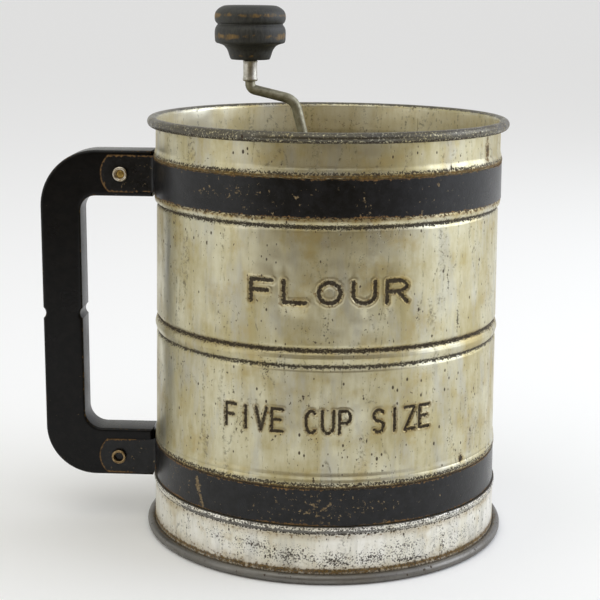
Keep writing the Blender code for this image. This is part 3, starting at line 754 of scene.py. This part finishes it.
# %% Japan and paint material
def black_film(name, base, dust, worn, rough, chips, shine):
    """A black film. The edge value on the points says where it is rubbed, and chipped where it is
    knocked off. chips is the level of the chip noise that breaks through."""
    material, tree, shader = new_material(name)
    place, math, remap, blend, field, painted = short_forms(tree)
    grain = field(place, 1.1, 4, 0.65)
    cloud = field(place, 22)
    edge = painted("edge")

    rub = math("ADD", edge, remap(grain, 0.3, 0.7, -0.45, 0.45))
    rub = math("ADD", rub, remap(cloud, 0.35, 0.65, -0.3, 0.3))
    rub = math("MULTIPLY", remap(rub, 0.55, 0.85), remap(edge, 0.0, 0.2))
    speckle = math("MULTIPLY_ADD", painted("chipped"), 0.20, field(place, 1.5, 4, 0.7))
    speckle = math("ADD", speckle, remap(cloud, 0.45, 0.65, 0.0, 0.03))
    chip = remap(speckle, chips, chips + 0.03)

    shade = remap(grain, 0.35, 0.65)
    film = blend(remap(field(place, 3.5, 6, 0.7), 0.42, 0.62), linear(base), linear(dust))
    brown = blend(shade, linear("#3c2a14"), linear(worn))
    bare_tan = blend(shade, linear("#5f4d33"), linear("#a08c68"))
    colour = blend(math("MULTIPLY", rub, 0.9), film, brown)
    colour = blend(math("MULTIPLY", chip, 0.8), colour, bare_tan)
    tree.links.new(colour, shader.inputs["Base Color"])
    bare = math("MAXIMUM", rub, chip)
    gloss = remap(cloud, 0.3, 0.7, rough, rough + 0.12)
    final = add(tree, "Mix", {0: bare, 2: gloss, 3: 0.7}, data_type="FLOAT").outputs[0]
    tree.links.new(final, shader.inputs["Roughness"])
    height = math("MULTIPLY_ADD", bare, -0.35, grain)
    bump = add(tree, "Bump", {"Height": height, "Distance": 0.2 * MM, "Strength": 0.3}).outputs[0]
    tree.links.new(bump, shader.inputs["Normal"])
    shader.inputs["Specular IOR Level"].default_value = shine
    return material


japan = black_film("black_japan", "#070707", "#171719", "#85653a", 0.25, 0.665, 0.34)
board_paint = black_film(
    "black_board_paint", "#050505", "#0f0d0c", "#5f4825", 0.24, 0.735, 0.20)

# %% [markdown]
# Both straps come from one function. Their edges carry the wear, and a few places the knocks: on
# the lower one a long scratch on the left, and fine lines on the right.

# %% Upper and lower band
EAR_START = 71


def band_edge(low, high, ear_low, ear_high, ear_end):
    """How near a point is to the strap's outline, on the ring and on its ears."""
    half, middle = (ear_high - ear_low) / 2, (ear_high + ear_low) / 2
    corner = EAR_ROUND / MM
    bow = (half ** 2 + corner ** 2) / (2 * corner)

    def value(radius, front, z):
        if radius < EAR_START:
            return 0.8 * max(near(z, low, 0.9), near(z, high, 0.9))
        along = radius * abs(sin(radians(front)))
        inset = min(half - abs(z - middle), bow - hypot(along - (ear_end - bow), z - middle))
        return 1.15 * near(inset, 0.1, 0.75)
    return value


def worn_strap(place, low, high, proud, ear_low, ear_high, wear_high, chips):
    """A strap with its wear. Heights are in millimetres, and wear_high is where its edge wears."""
    node = f"{place}_band"
    strap = make_strap(
        f"{place}_strap", node, low * MM, high * MM, proud * MM, ear_low * MM, ear_high * MM, japan)
    ear_end = (AXIS.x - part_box(node)[0].x) / MM
    paint(
        strap, edge=band_edge(low, wear_high, ear_low, ear_high, ear_end),
        chipped=lambda radius, front, z: marks(chips, front, z))


UPPER_CHIPS = [
    (-7.3, 138.0, 1.0, 0.5, 0.9), (27.7, 133.2, 1.1, 0.7, 0.9), (42.7, 138.9, 0.8, 1.6, 0.6),
    (37.8, 141.2, 0.5, 0.9, 0.8), (13.4, 137.0, 1.6, 1.6, 0.5), (-38, 138, 4, 2.2, 0.6),
    (-24, 138, 9, 4, 0.45),
]
LOWER_CHIPS = [
    (-42.3, 30.8, 0.75, 1.3, 2.2), (-41.9, 28.8, 0.8, 1.5, 2.3), (-41.3, 26.6, 0.75, 1.5, 2.2),
    (-40.6, 24.4, 0.65, 1.5, 2.0), (-39.8, 22.4, 0.5, 1.2, 1.8),
    (38.6, 32.4, 0.3, 1.4, 0.8), (40.0, 30.0, 0.4, 1.0, 0.8), (41.6, 27.8, 0.6, 0.7, 0.8),
    (45.5, 25.6, 2.6, 0.35, 0.8), (4, 27, 14, 6, 0.50), (14, 29, 8, 4, 0.45), (-16, 26, 6, 4, 0.40),
]
worn_strap("upper", 131.3, 144.5, 1.4, 130.8, 145.1, 144.6, UPPER_CHIPS)
worn_strap("lower", 21.3, 34.6, 0.6, 18.8, 32.6, 34.6, LOWER_CHIPS)

# %% [markdown]
# ## Handle
#
# The handle is sawn from half-inch board: two arms and a grip, with rounded corners and a small
# scribed notch on each side of the grip. Its outline is extruded and its long edges are rounded by
# bevels. Insetting both faces then leaves rings of points along the edge, where the wear is kept.

# %% Handle outline
TOP_ARM = (129.2 * MM, 146.7 * MM)
LOW_ARM = (17.8 * MM, 36.7 * MM)
NOTCH_Z = 83.0 * MM
HANDLE_EDGE, WEAR_INSET = 1.1 * MM, 0.7 * MM


def handle_outline():
    outer = AXIS.x - board_low.x
    inner = outer - 15.5 * MM
    top_end = AXIS.x - board_high.x
    notch = 2.8 * MM
    sink = 1.0 * MM
    reach = degrees(acos((notch - sink) / notch))
    top, under_top = TOP_ARM[1], TOP_ARM[0]
    over_low, bottom = LOW_ARM[1], LOW_ARM[0]
    return (
        [(top_end, top)] + arc((outer - 22 * MM, top - 22 * MM), 22 * MM, 90, 0, 22)
        + arc((outer + notch - sink, NOTCH_Z), notch, 180 - reach, 180 + reach, 6)
        + arc((outer - 19.5 * MM, bottom + 19.5 * MM), 19.5 * MM, 0, -90, 22)
        + [(top_end + 1.2 * MM, bottom), (top_end + 1.2 * MM, over_low)]
        + arc((inner - 7 * MM, over_low + 7 * MM), 7 * MM, -90, 0, 10)
        + arc((inner - notch + sink, NOTCH_Z), notch, -reach, reach, 6)
        + arc((inner - 5.8 * MM, under_top - 5.8 * MM), 5.8 * MM, 0, 90, 10)
        + [(top_end, under_top)]
    )


def large_sides(bm):
    """The board's two flat faces."""
    return [face for face in bm.faces if abs(face.normal.y) > 0.99 and len(face.verts) > 8]


def make_handle():
    bm = bmesh.new()
    face = bm.faces.new([bm.verts.new((AXIS.x - u, -BOARD_HALF, z)) for u, z in handle_outline()])
    raised = bmesh.ops.extrude_face_region(bm, geom=[face])["geom"]
    verts = [item for item in raised if isinstance(item, bmesh.types.BMVert)]
    bmesh.ops.translate(bm, verts=verts, vec=(0, 2 * BOARD_HALF, 0))
    bmesh.ops.recalc_face_normals(bm, faces=bm.faces)
    rims = [
        edge for edge in bm.edges
        if len({round(vert.co.y, 6) for vert in edge.verts}) == 1
        and abs(abs(edge.verts[0].co.y) - BOARD_HALF) < 1e-6
    ]
    bmesh.ops.bevel(
        bm, geom=rims, offset=HANDLE_EDGE, segments=4, profile=0.5, affect="EDGES", material=-1)
    bmesh.ops.inset_region(
        bm, faces=large_sides(bm), thickness=WEAR_INSET, depth=0, use_even_offset=True)
    bmesh.ops.triangulate(bm, faces=large_sides(bm))
    return bm


def corner_wear(point):
    depth = BOARD_HALF - abs(point.y)
    return 0.38 * ease(depth, 0.02 * MM, 0.3 * MM) * (1 - ease(depth, 0.7 * MM, 1.4 * MM))


def edge_chips(point):
    return 0.32 * (BOARD_HALF - abs(point.y) > 0.8 * MM)


handle = finished("handle_board", make_handle(), board_paint, "can", ["handle"])
store(handle, "edge", corner_wear)
store(handle, "chipped", edge_chips)

# %% [markdown]
# ## Plain old metals
#
# The smaller pieces are brass, steel and tin, all metallic and all dulled by a blotchy skin of oxide.
# One function gives them two shades of one metal and a roughness that follows the shades. Tinned
# and brass pieces are smoother, at 0.24 to 0.4, and the bare steel rod is rougher.

# %% Metals
def dull_metal(name, base, tint, rough, size=3.0):
    """A plain old metal: two shades in a blotchy mix, with roughness that follows them."""
    material, tree, shader = new_material(name)
    place, _, remap, blend, field, _ = short_forms(tree)
    blotch = field(place, size, 5, 0.7)
    colour = blend(remap(blotch, 0.38, 0.62), linear(base), linear(tint))
    tree.links.new(colour, shader.inputs["Base Color"])
    shader.inputs["Metallic"].default_value = 1.0
    spread = remap(blotch, 0.3, 0.7, rough, rough + 0.2)
    tree.links.new(spread, shader.inputs["Roughness"])
    bump = add(tree, "Bump", {"Height": blotch, "Distance": 0.06 * MM, "Strength": 0.4}).outputs[0]
    tree.links.new(bump, shader.inputs["Normal"])
    return material


rivet_brass = dull_metal("tarnished_brass", "#b89b58", "#7d6434", 0.34, 2.0)
bearing_brass = dull_metal("bearing_brass", "#a98f56", "#7b673c", 0.38)
rod_steel = dull_metal("grey_rod_steel", "#a5a28f", "#88836e", 0.46, 2.2)
ferrule_tin = dull_metal("ferrule_tin", "#cfccc2", "#a39f93", 0.34, 2.0)
wire_steel = dull_metal("tinned_wire", "#b5b2a4", "#8a8470", 0.34, 2.5)
strap_tin = dull_metal("strap_tin", "#bdb59a", "#8f8666", 0.38, 6.0)
rivet_tin = dull_metal("rivet_tin", "#d6cfc0", "#a08e70", 0.24, 2.0)
rivet_brown = dull_metal("tarnished_rivet", "#a8916c", "#6e583a", 0.34, 2.0)

# %% [markdown]
# ## Rivets
#
# Each rivet is a short tube, flared over both ears by a punch, so its head is a small ring with a
# hole. The ring is round in section. A domed brass pin shows a little way into the upper one, and
# the lower one is deeper and browner.

# %% Rivets
def rivet_outline(half, sunk):
    """The outline of a flared tube of half length half along its own axis, open to depth sunk."""
    bead = 0.56 * MM
    middle = (2.85 * MM - bead, half - bead)
    bulge = arc(middle, bead, -50, 215, 14)
    top = [(0, half - sunk), (1.6 * MM, half - sunk)] + bulge[::-1]
    shank = [(1.85 * MM, half - 1.1 * MM), (1.85 * MM, -half + 1.1 * MM)]
    return top + shank + [(r, -z) for r, z in reversed(top)]


def lying(outline, node, steps):
    """Spins an outline and lays it across the handle, at the middle of a node."""
    low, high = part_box(node)
    bm = spun(outline, (0, 0, 0), [(360, steps)], closed=False)
    return placed(bm, pi / 2, "X", (low + high) / 2)


def half_length(node):
    low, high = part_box(node)
    return (high.y - low.y) / 2


def make_rivet(name, node, sunk, metal):
    bm = lying(rivet_outline(half_length(node), sunk), node, 40)
    return finished(name, bm, metal, "can", [node])


def make_core(name, node, sunk):
    """The brass pin that shows inside the ring, slightly domed, at both ends."""
    half = half_length(node) - sunk + 0.02 * MM
    crown = [(0, 0.45), (0.7, 0.38), (1.2, 0.22), (1.56, 0)]
    dome = [(r * MM, half + rise * MM) for r, rise in crown]
    bm = lying(dome + [(r, -z) for r, z in reversed(dome)], node, 24)
    return finished(name, bm, rivet_brass, "can")


make_rivet("upper_rivet", "upper_handle_rivet", 0.9 * MM, rivet_tin)
make_core("upper_rivet_core", "upper_handle_rivet", 0.9 * MM)
make_rivet("lower_rivet", "lower_handle_rivet", 4.0 * MM, rivet_brown)

# %% [markdown]
# ## Crank rod and ferrule
#
# One steel rod rises on the can's axis, leans out, turns over the rim and stands up again inside the
# knob. A curve with a round bevel is the natural way to make it: only the corners and their bend
# radii are stated, and the smooth path is worked out.

# %% Rounded paths
def rounded(corners, radii, count=8):
    """Replaces the inner corners of a path of 2D points by arcs."""
    path = [tuple(corners[0])]
    for before, corner, after, radius in zip(corners, corners[1:], corners[2:], radii):
        corner = Vector(corner)
        first = (Vector(before) - corner).normalized()
        second = (Vector(after) - corner).normalized()
        half = first.angle(second) / 2
        middle = corner + (first + second).normalized() * (radius / sin(half))
        start = corner + first * (radius / tan(half)) - middle
        turn = start.angle_signed(corner + second * (radius / tan(half)) - middle)
        for i in range(count + 1):
            a = -turn * i / count
            path.append((middle.x + start.x * cos(a) - start.y * sin(a),
                         middle.y + start.x * sin(a) + start.y * cos(a)))
    return path + [tuple(corners[-1])]


def wire_mesh(name, paths, radius, sides, material, body, replaces):
    """Round wires along one or more lists of points, as one mesh."""
    line = bpy.data.curves.new(name, "CURVE")
    line.dimensions = "3D"
    line.bevel_depth = radius
    line.bevel_resolution = sides
    line.use_fill_caps = True
    for points in paths:
        spline = line.splines.new("POLY")
        spline.points.add(len(points) - 1)
        for target, point in zip(spline.points, points):
            target.co = (*point, 1)
    temporary = bpy.data.objects.new(name + "_line", line)
    bpy.context.scene.collection.objects.link(temporary)
    bpy.context.view_layer.update()
    mesh = bpy.data.meshes.new_from_object(temporary)
    bpy.data.objects.remove(temporary)
    bm = bmesh.new()
    bm.from_mesh(mesh)
    bpy.data.meshes.remove(mesh)
    return finished(name, bm, material, body, replaces)


rod_low, rod_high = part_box("crank_rod")
ROD_RADIUS = (rod_high.y - rod_low.y) / 2
KNOB_U = AXIS.x - KNOB_AXIS.x
rod_corners = [
    (0, rod_low.z), (0, RIM_TOP - 44.9 * MM), (12.7 * MM, RIM_TOP + 5.8 * MM),
    (KNOB_U, RIM_TOP + 9.8 * MM), (KNOB_U, rod_high.z),
]
rod_path = rounded(rod_corners, [12 * MM, 6 * MM, 2.4 * MM])
wire_mesh(
    "bent_rod", [[(AXIS.x - u, 0, z) for u, z in rod_path]], ROD_RADIUS, 5, rod_steel, "crank",
    ["crank_rod"])

# %% [markdown]
# The ferrule is a short bright sleeve on the rod, just under the knob. It is drawn in a little at
# its waist, with a small bead at its lower edge.

# %% Ferrule
ferrule_low, ferrule_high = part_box("knob_ferrule")
outer, bore = (ferrule_high.x - ferrule_low.x) / 2, ROD_RADIUS + 0.1 * MM
low, high = ferrule_low.z, ferrule_high.z
ferrule_outline = [
    (bore, high), (outer - 0.3 * MM, high), (outer - 0.05 * MM, high - 0.3 * MM),
    (outer - 0.25 * MM, high - 1.2 * MM), (outer - 0.2 * MM, low + 1.6 * MM), (outer, low + 0.9 * MM),
    (outer, low + 0.5 * MM), (outer - 0.3 * MM, low + 0.1 * MM), (outer - 0.7 * MM, low), (bore, low),
]
finished(
    "ferrule_sleeve", spun(ferrule_outline, KNOB_AXIS, [(360, 48)]), ferrule_tin, "crank",
    ["knob_ferrule"])

# %% [markdown]
# ## Knob
#
# The knob is turned from a close-grained wood such as beech: a cone over the ferrule, two rounded
# rings with a groove between, and a flat top. A few points give the shape, and a smooth curve through
# them gives the lathe's flowing line. Wear shows the wood on the crests of the rings.

# %% Knob outline
def flowing(points, count):
    """A Catmull-Rom curve through the points."""
    padded = [points[0]] + list(points) + [points[-1]]
    line = []
    for p0, p1, p2, p3 in zip(padded, padded[1:], padded[2:], padded[3:]):
        for i in range(count):
            t = i / count
            line.append(tuple(
                0.5 * (2 * b + (c - a) * t + (2 * a - 5 * b + 4 * c - d) * t * t
                       + (3 * b - a - 3 * c + d) * t ** 3)
                for a, b, c, d in zip(p0, p1, p2, p3)
            ))
    return line + [tuple(points[-1])]


KNOB_SHAPE = [
    (2.3, 0.0), (6.6, 0.0), (7.4, 0.35), (7.8, 1.2), (8.15, 2.3), (8.5, 3.3), (9.1, 4.3), (10.0, 5.2),
    (11.4, 5.8), (12.7, 6.2), (13.2, 7.0), (13.33, 9.0), (13.3, 10.6), (13.05, 11.7), (12.6, 12.5),
    (12.3, 12.9), (12.35, 13.3), (12.95, 13.9), (13.3, 15.0), (13.33, 16.2), (13.0, 17.5), (12.0, 18.7),
    (10.5, 19.6), (8.8, 20.0), (5.0, 20.1), (0.0, 20.1),
]


def worn_wood(name):
    """Black-stained turned wood. Stain is dull, so roughness is about 0.5 and up. The rings show
    bare wood."""
    material, tree, shader = new_material(name)
    place, math, remap, blend, field, painted = short_forms(tree)
    fibre = add(tree, "Mapping", {"Vector": place, "Scale": (1, 1, 0.25)}).outputs[0]
    grain = field(fibre, 0.9, 5, 0.7)
    spread = remap(field(place, 6.0, 4), 0.35, 0.65, -0.5, 0.5)
    rub = remap(math("ADD", painted("edge"), spread), 0.68, 1.05)
    speck = remap(grain, 0.35, 0.65)
    stain = blend(speck, linear("#1a1a17"), linear("#3d3d36"))
    wood = blend(speck, linear("#8a6c34"), linear("#4a3a1c"))
    tree.links.new(blend(rub, stain, wood), shader.inputs["Base Color"])
    tree.links.new(remap(speck, 0.0, 1.0, 0.48, 0.68), shader.inputs["Roughness"])
    bump = add(tree, "Bump", {"Height": grain, "Distance": 0.2 * MM, "Strength": 0.5}).outputs[0]
    tree.links.new(bump, shader.inputs["Normal"])
    return material


def ring_wear(point):
    """The two rings are rubbed most, and the foot of the cone a little less."""
    crests = [(8.8, 2.6, 1), (16.4, 2.0, 1), (1.6, 1.2, 0.8)]
    return 0.85 * lines_at(crests, (point.z - knob_low.z) / MM)


KNOB_HEIGHT, BORE_DEPTH, SHAFT_HOLE = 20.1, 16.5, 2.2 * MM
knob_line = [(r * MM, knob_low.z + min(z, KNOB_HEIGHT) * MM) for r, z in flowing(KNOB_SHAPE, 5)]
bore_top = knob_low.z + BORE_DEPTH * MM
knob_line = [(0, bore_top), (SHAFT_HOLE, bore_top)] + knob_line
knob = finished(
    "knob_turned", spun(knob_line, KNOB_AXIS, [(360, 96)], closed=False),
    worn_wood("stained_beech"), "knob", ["knob"])
store(knob, "edge", ring_wear)

# %% [markdown]
# ## Screens
#
# Each screen is woven wire, about sixteen meshes to the inch, dished a little and held in its pressed
# ring. A weave is wires that pass over and under each other, so each wire is a line whose height
# rises and falls by its own thickness from one crossing to the next. Wires have only four sides,
# because there are hundreds of them.

# %% Woven screens
LEVELS = ("upper", "middle", "lower")
MESH_PITCH = 1.6 * MM
MESH_WIRE = 0.24 * MM
DISH = 2.0 * MM


def woven(level):
    low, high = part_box(f"{level}_screen")
    radius = (high.x - low.x) / 2
    hole = 4.6 * MM
    rim_z = low.z + 0.3 * MM
    count = floor(radius / MESH_PITCH)

    def surface(x, y):
        return rim_z + DISH * max(0.0, 1 - hypot(x, y) / radius)

    paths = []
    for along_x in (True, False):
        for i in range(-count, count + 1):
            side = (i + 0.5) * MESH_PITCH
            if abs(side) >= radius - 0.5 * MM:
                continue
            reach = sqrt(radius ** 2 - side ** 2)
            steps = floor(reach / MESH_PITCH)
            run = []
            for j in range(-steps, steps + 1):
                along = j * MESH_PITCH
                x, y = (along, side) if along_x else (side, along)
                if hypot(x, y) < hole:
                    if len(run) > 1:
                        paths.append(run)
                    run = []
                    continue
                # The wire crosses between two stations, so its height alternates at each station.
                lift = MESH_WIRE * 0.55 * (1 if (i + j) % 2 else -1) * (1 if along_x else -1)
                run.append((AXIS.x + x, y, surface(x, y) + lift))
            if len(run) > 1:
                paths.append(run)
    wire_mesh(
        f"{level}_woven_screen", paths, MESH_WIRE, 0, wire_steel, "can",
        [f"{level}_screen"])


for level in LEVELS:
    woven(level)

# %% [markdown]
# ## Working parts inside
#
# Bushes, eyelets, hubs, collar and washer are all short turned sleeves. One function reads a sleeve's
# box and spins a finer outline with eased edges; a flange is added where the real piece has one.
# The pressed rings and the straps keep their exact shape from the frame and only get a finish.

# %% Sleeves
def sleeve(name, node, bore, material, body, slot, flange=0.0, flange_height=0.0):
    """A tube, or a tube with a flange at its top, from a node's box."""
    low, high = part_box(node)
    outer = (high.x - low.x) / 2
    ease_by = 0.2 * MM
    top, bottom = high.z, low.z
    line = [(bore, top), (outer - ease_by, top), (outer, top - ease_by)]
    if flange:
        under = top - flange_height
        line += [
            (outer, under + ease_by / 2), (outer - ease_by / 2, under), (outer - flange, under)]
    tube = outer - flange
    line += [(tube, bottom + ease_by), (tube - ease_by, bottom), (bore, bottom)]
    return finished(name, spun(line, AXIS, [(360, 40)]), material, body, [node])


STEEL_SLEEVE = (SHAFT_HOLE, rod_steel, "crank", "crank_steel")
BRASS_SLEEVE = (SHAFT_HOLE, bearing_brass, "can", "bearing_brass", 1.6 * MM)
for level in LEVELS:
    sleeve(f"{level}_hub_sleeve", f"{level}_agitator_hub", *STEEL_SLEEVE)
    sleeve(f"{level}_grommet", f"{level}_eyelet", *BRASS_SLEEVE, 0.5 * MM)
for level in ("top", "foot"):
    sleeve(f"{level}_flanged_bush", f"{level}_bush", *BRASS_SLEEVE, 0.8 * MM)
sleeve("collar_ring", "thrust_collar", *STEEL_SLEEVE)
sleeve("end_washer", "retaining_washer", *STEEL_SLEEVE)

# %% [markdown]
# ## Agitator wires
#
# Two bent wires cross at each hub and lie close over the screen, so that they sweep the flour
# through it. Their ends turn up beside the wall. One wire runs along x and the other along y.

# %% Agitator wires
AGITATOR_WIRE = 1.0 * MM
for level in LEVELS:
    for side in ("lower", "upper"):
        node = f"{level}_agitator_{side}_wire"
        low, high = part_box(node)
        across_x = side == "lower"
        reach = (high.x - low.x if across_x else high.y - low.y) / 2 - AGITATOR_WIRE
        offset = low.y + AGITATOR_WIRE if across_x else low.x + AGITATOR_WIRE - AXIS.x
        hub_low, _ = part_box(f"{level}_agitator_hub")
        flat = hub_low.z + (1.3 if across_x else 3.6) * MM
        tip = low.z + AGITATOR_WIRE
        slope = DISH / (reach + 3 * MM)
        half = [
            (9 * MM, flat), (20 * MM, tip + slope * (reach - 20 * MM)), (reach, tip),
            (reach, tip + 5 * MM),
        ]
        corners = [(-s, h) for s, h in reversed(half)] + half
        path = rounded(corners, [3 * MM] * 6, 4)
        flat_points = [(s, offset, h) if across_x else (offset, s, h) for s, h in path]
        points = [(AXIS.x + x, y, z) for x, y, z in flat_points]
        wire_mesh(
            f"{node}_bent", [points], AGITATOR_WIRE, 3, rod_steel, "crank", [node])

# %% [markdown]
# The pressed rings and the bridges are plain tin strip. The wires inside the rolled rim and foot
# are steel, and are hidden by the rolls.

# %% Finishes for the pieces kept from the frame
KEPT = [(f"{level}_screen_ring", strap_tin) for level in LEVELS]
KEPT += [("top_bridge", strap_tin), ("foot_bridge", strap_tin)]
KEPT += [("rim_wire", rod_steel), ("foot_wire", rod_steel)]
for node, finish in KEPT:
    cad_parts[node].data.materials.clear()
    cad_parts[node].data.materials.append(finish)
print("kept pieces with a finish:", len(KEPT))

# %% [markdown]
# ## Seam inside the can
#
# The can is one sheet bent round and locked along a seam that runs up the back wall. From inside it
# is a flat ridge about five millimetres wide. It follows the wall's curve, so it is the wall's own
# line, thickened inwards and spun through a few degrees.

# %% Seam
SEAM_AZIMUTH, SEAM_WIDTH, RIDGE = 59, 4.4, 0.3 * MM
seam_rows = stretches(20, [(78, 6), (86, 1), (126, 6), (156.5, 1.5)])
wall = [(wall_radius(z * MM) - SHEET + 0.02 * MM, z * MM) for z in seam_rows]
ridge = [(r - RIDGE, z) for r, z in reversed(wall)]
bm = bmesh.new()
points = [bm.verts.new((r, 0, z)) for r, z in wall + ridge]
start = bm.faces.new(points)
bmesh.ops.spin(
    bm, geom=[start], cent=(0, 0, 0), axis=(0, 0, 1), angle=radians(SEAM_WIDTH), steps=6)
bmesh.ops.remove_doubles(bm, verts=bm.verts, dist=1e-7)
bmesh.ops.recalc_face_normals(bm, faces=bm.faces)
placed(bm, radians(SEAM_AZIMUTH - SEAM_WIDTH / 2), "Z", AXIS)
seam = finished("inner_lock_seam", bm, body_tin, "can")
paint(seam, inside=lambda radius, front, z: 1.0)

# %% [markdown]
# ## Floor, light and camera
#
# The object stands on a pale seamless floor in a bright room. Large soft lights left, right and
# overhead give metal the long highlights that show its shape, and the world fills the shadows.

# %% Stage
def make_floor():
    """A pale sheet that starts half a metre in front of the can and runs back past the horizon."""
    bm = bmesh.new()
    corners = [(-40, -0.5, 0), (40, -0.5, 0), (40, 70, 0), (-40, 70, 0)]
    bm.faces.new([bm.verts.new(corner) for corner in corners])
    mesh = bpy.data.meshes.new("pale_floor")
    bm.to_mesh(mesh)
    bm.free()
    material, tree, shader = new_material("floor_paper")
    shader.inputs["Base Color"].default_value = linear("#fbfbfa")
    shader.inputs["Roughness"].default_value = 0.9
    shader.inputs["Specular IOR Level"].default_value = 0.1
    mesh.materials.append(material)
    floor_object = bpy.data.objects.new("pale_floor", mesh)
    bpy.context.scene.collection.objects.link(floor_object)


def soft_light(name, location, size, power, colour=(1, 1, 1)):
    lamp = bpy.data.lights.new(name, "AREA")
    lamp.shape = "RECTANGLE"
    lamp.size, lamp.size_y = size
    lamp.energy = power
    lamp.color = colour
    obj = bpy.data.objects.new(name, lamp)
    obj.location = location
    aim = Vector((0, 0, 0.09)) - Vector(location)
    obj.rotation_euler = aim.to_track_quat("-Z", "Y").to_euler()
    bpy.context.scene.collection.objects.link(obj)


def bright_room():
    """A white room, cooler on the right. The space behind the camera is dim and warm, which is what
    black paint needs in front of it to look black. A camera that turns that way sees plain white."""
    world = bpy.data.worlds.new("bright_room")
    bpy.context.scene.world = world
    world.use_nodes = True
    tree = world.node_tree
    heading = add(tree, "TexCoord").outputs["Generated"]
    x, y, z = add(tree, "SeparateXYZ", {0: heading}).outputs
    _, math, _, blend, _, _ = short_forms(tree)

    def rise(value, start, end):
        sockets = {"Value": value, "From Min": start, "From Max": end}
        return add(tree, "MapRange", sockets, interpolation_type="SMOOTHSTEP").outputs[0]

    dim = math("MULTIPLY", rise(y, -0.25, -0.85), rise(z, 0.75, 0.25))
    air = blend(rise(x, -0.1, 0.8), linear("#eeeeea"), linear("#f0f1fd"))
    room = blend(dim, air, linear("#6c5d42"))
    seen = add(tree, "LightPath").outputs["Is Camera Ray"]
    room = blend(seen, room, linear("#ebebec"))
    sky = tree.nodes["Background"]
    tree.links.new(room, sky.inputs["Color"])
    sky.inputs["Strength"].default_value = 0.95


make_floor()
bright_room()
soft_light("left_window", (-1.0, -0.75, 0.40), (0.6, 0.7), 1.35)
soft_light("right_window", (1.10, 0.10, 0.55), (1.1, 0.8), 7.0, (0.86, 0.92, 1.0))
soft_light("overhead", (-0.25, -0.5, 1.2), (1.0, 1.0), 2.2, (1.0, 0.99, 0.96))
bpy.context.scene.view_settings.view_transform = "Standard"

# %% [markdown]
# The camera stands a little over half a metre away and looks down by twelve degrees, so that the
# rim is seen as an ellipse and the rod can be seen going down into the can.

# %% Camera
CAMERA_AZIMUTH = 2.0
CAMERA_DISTANCE = 555.4 * MM
CAMERA_HEIGHT = 207.97 * MM
PITCH, YAW, ROLL = radians(12.108), radians(-1.038), radians(0.474)

lens = bpy.data.cameras.new("camera")
lens.sensor_width = 36.0
lens.lens = 87.64
lens.clip_start = 0.01
camera = bpy.data.objects.new("camera", lens)
turn = Matrix.Rotation(radians(CAMERA_AZIMUTH), 3, "Z")
forward = turn @ Vector((sin(YAW) * cos(PITCH), cos(YAW) * cos(PITCH), -sin(PITCH)))
camera.location = AXIS + turn @ Vector((0, -CAMERA_DISTANCE, 0)) + Vector((0, 0, CAMERA_HEIGHT))
camera.rotation_mode = "QUATERNION"
level_view = forward.to_track_quat("-Z", "Y")
camera.rotation_quaternion = level_view @ Matrix.Rotation(ROLL, 3, "Z").to_quaternion()
bpy.context.scene.collection.objects.link(camera)
bpy.context.scene.camera = camera
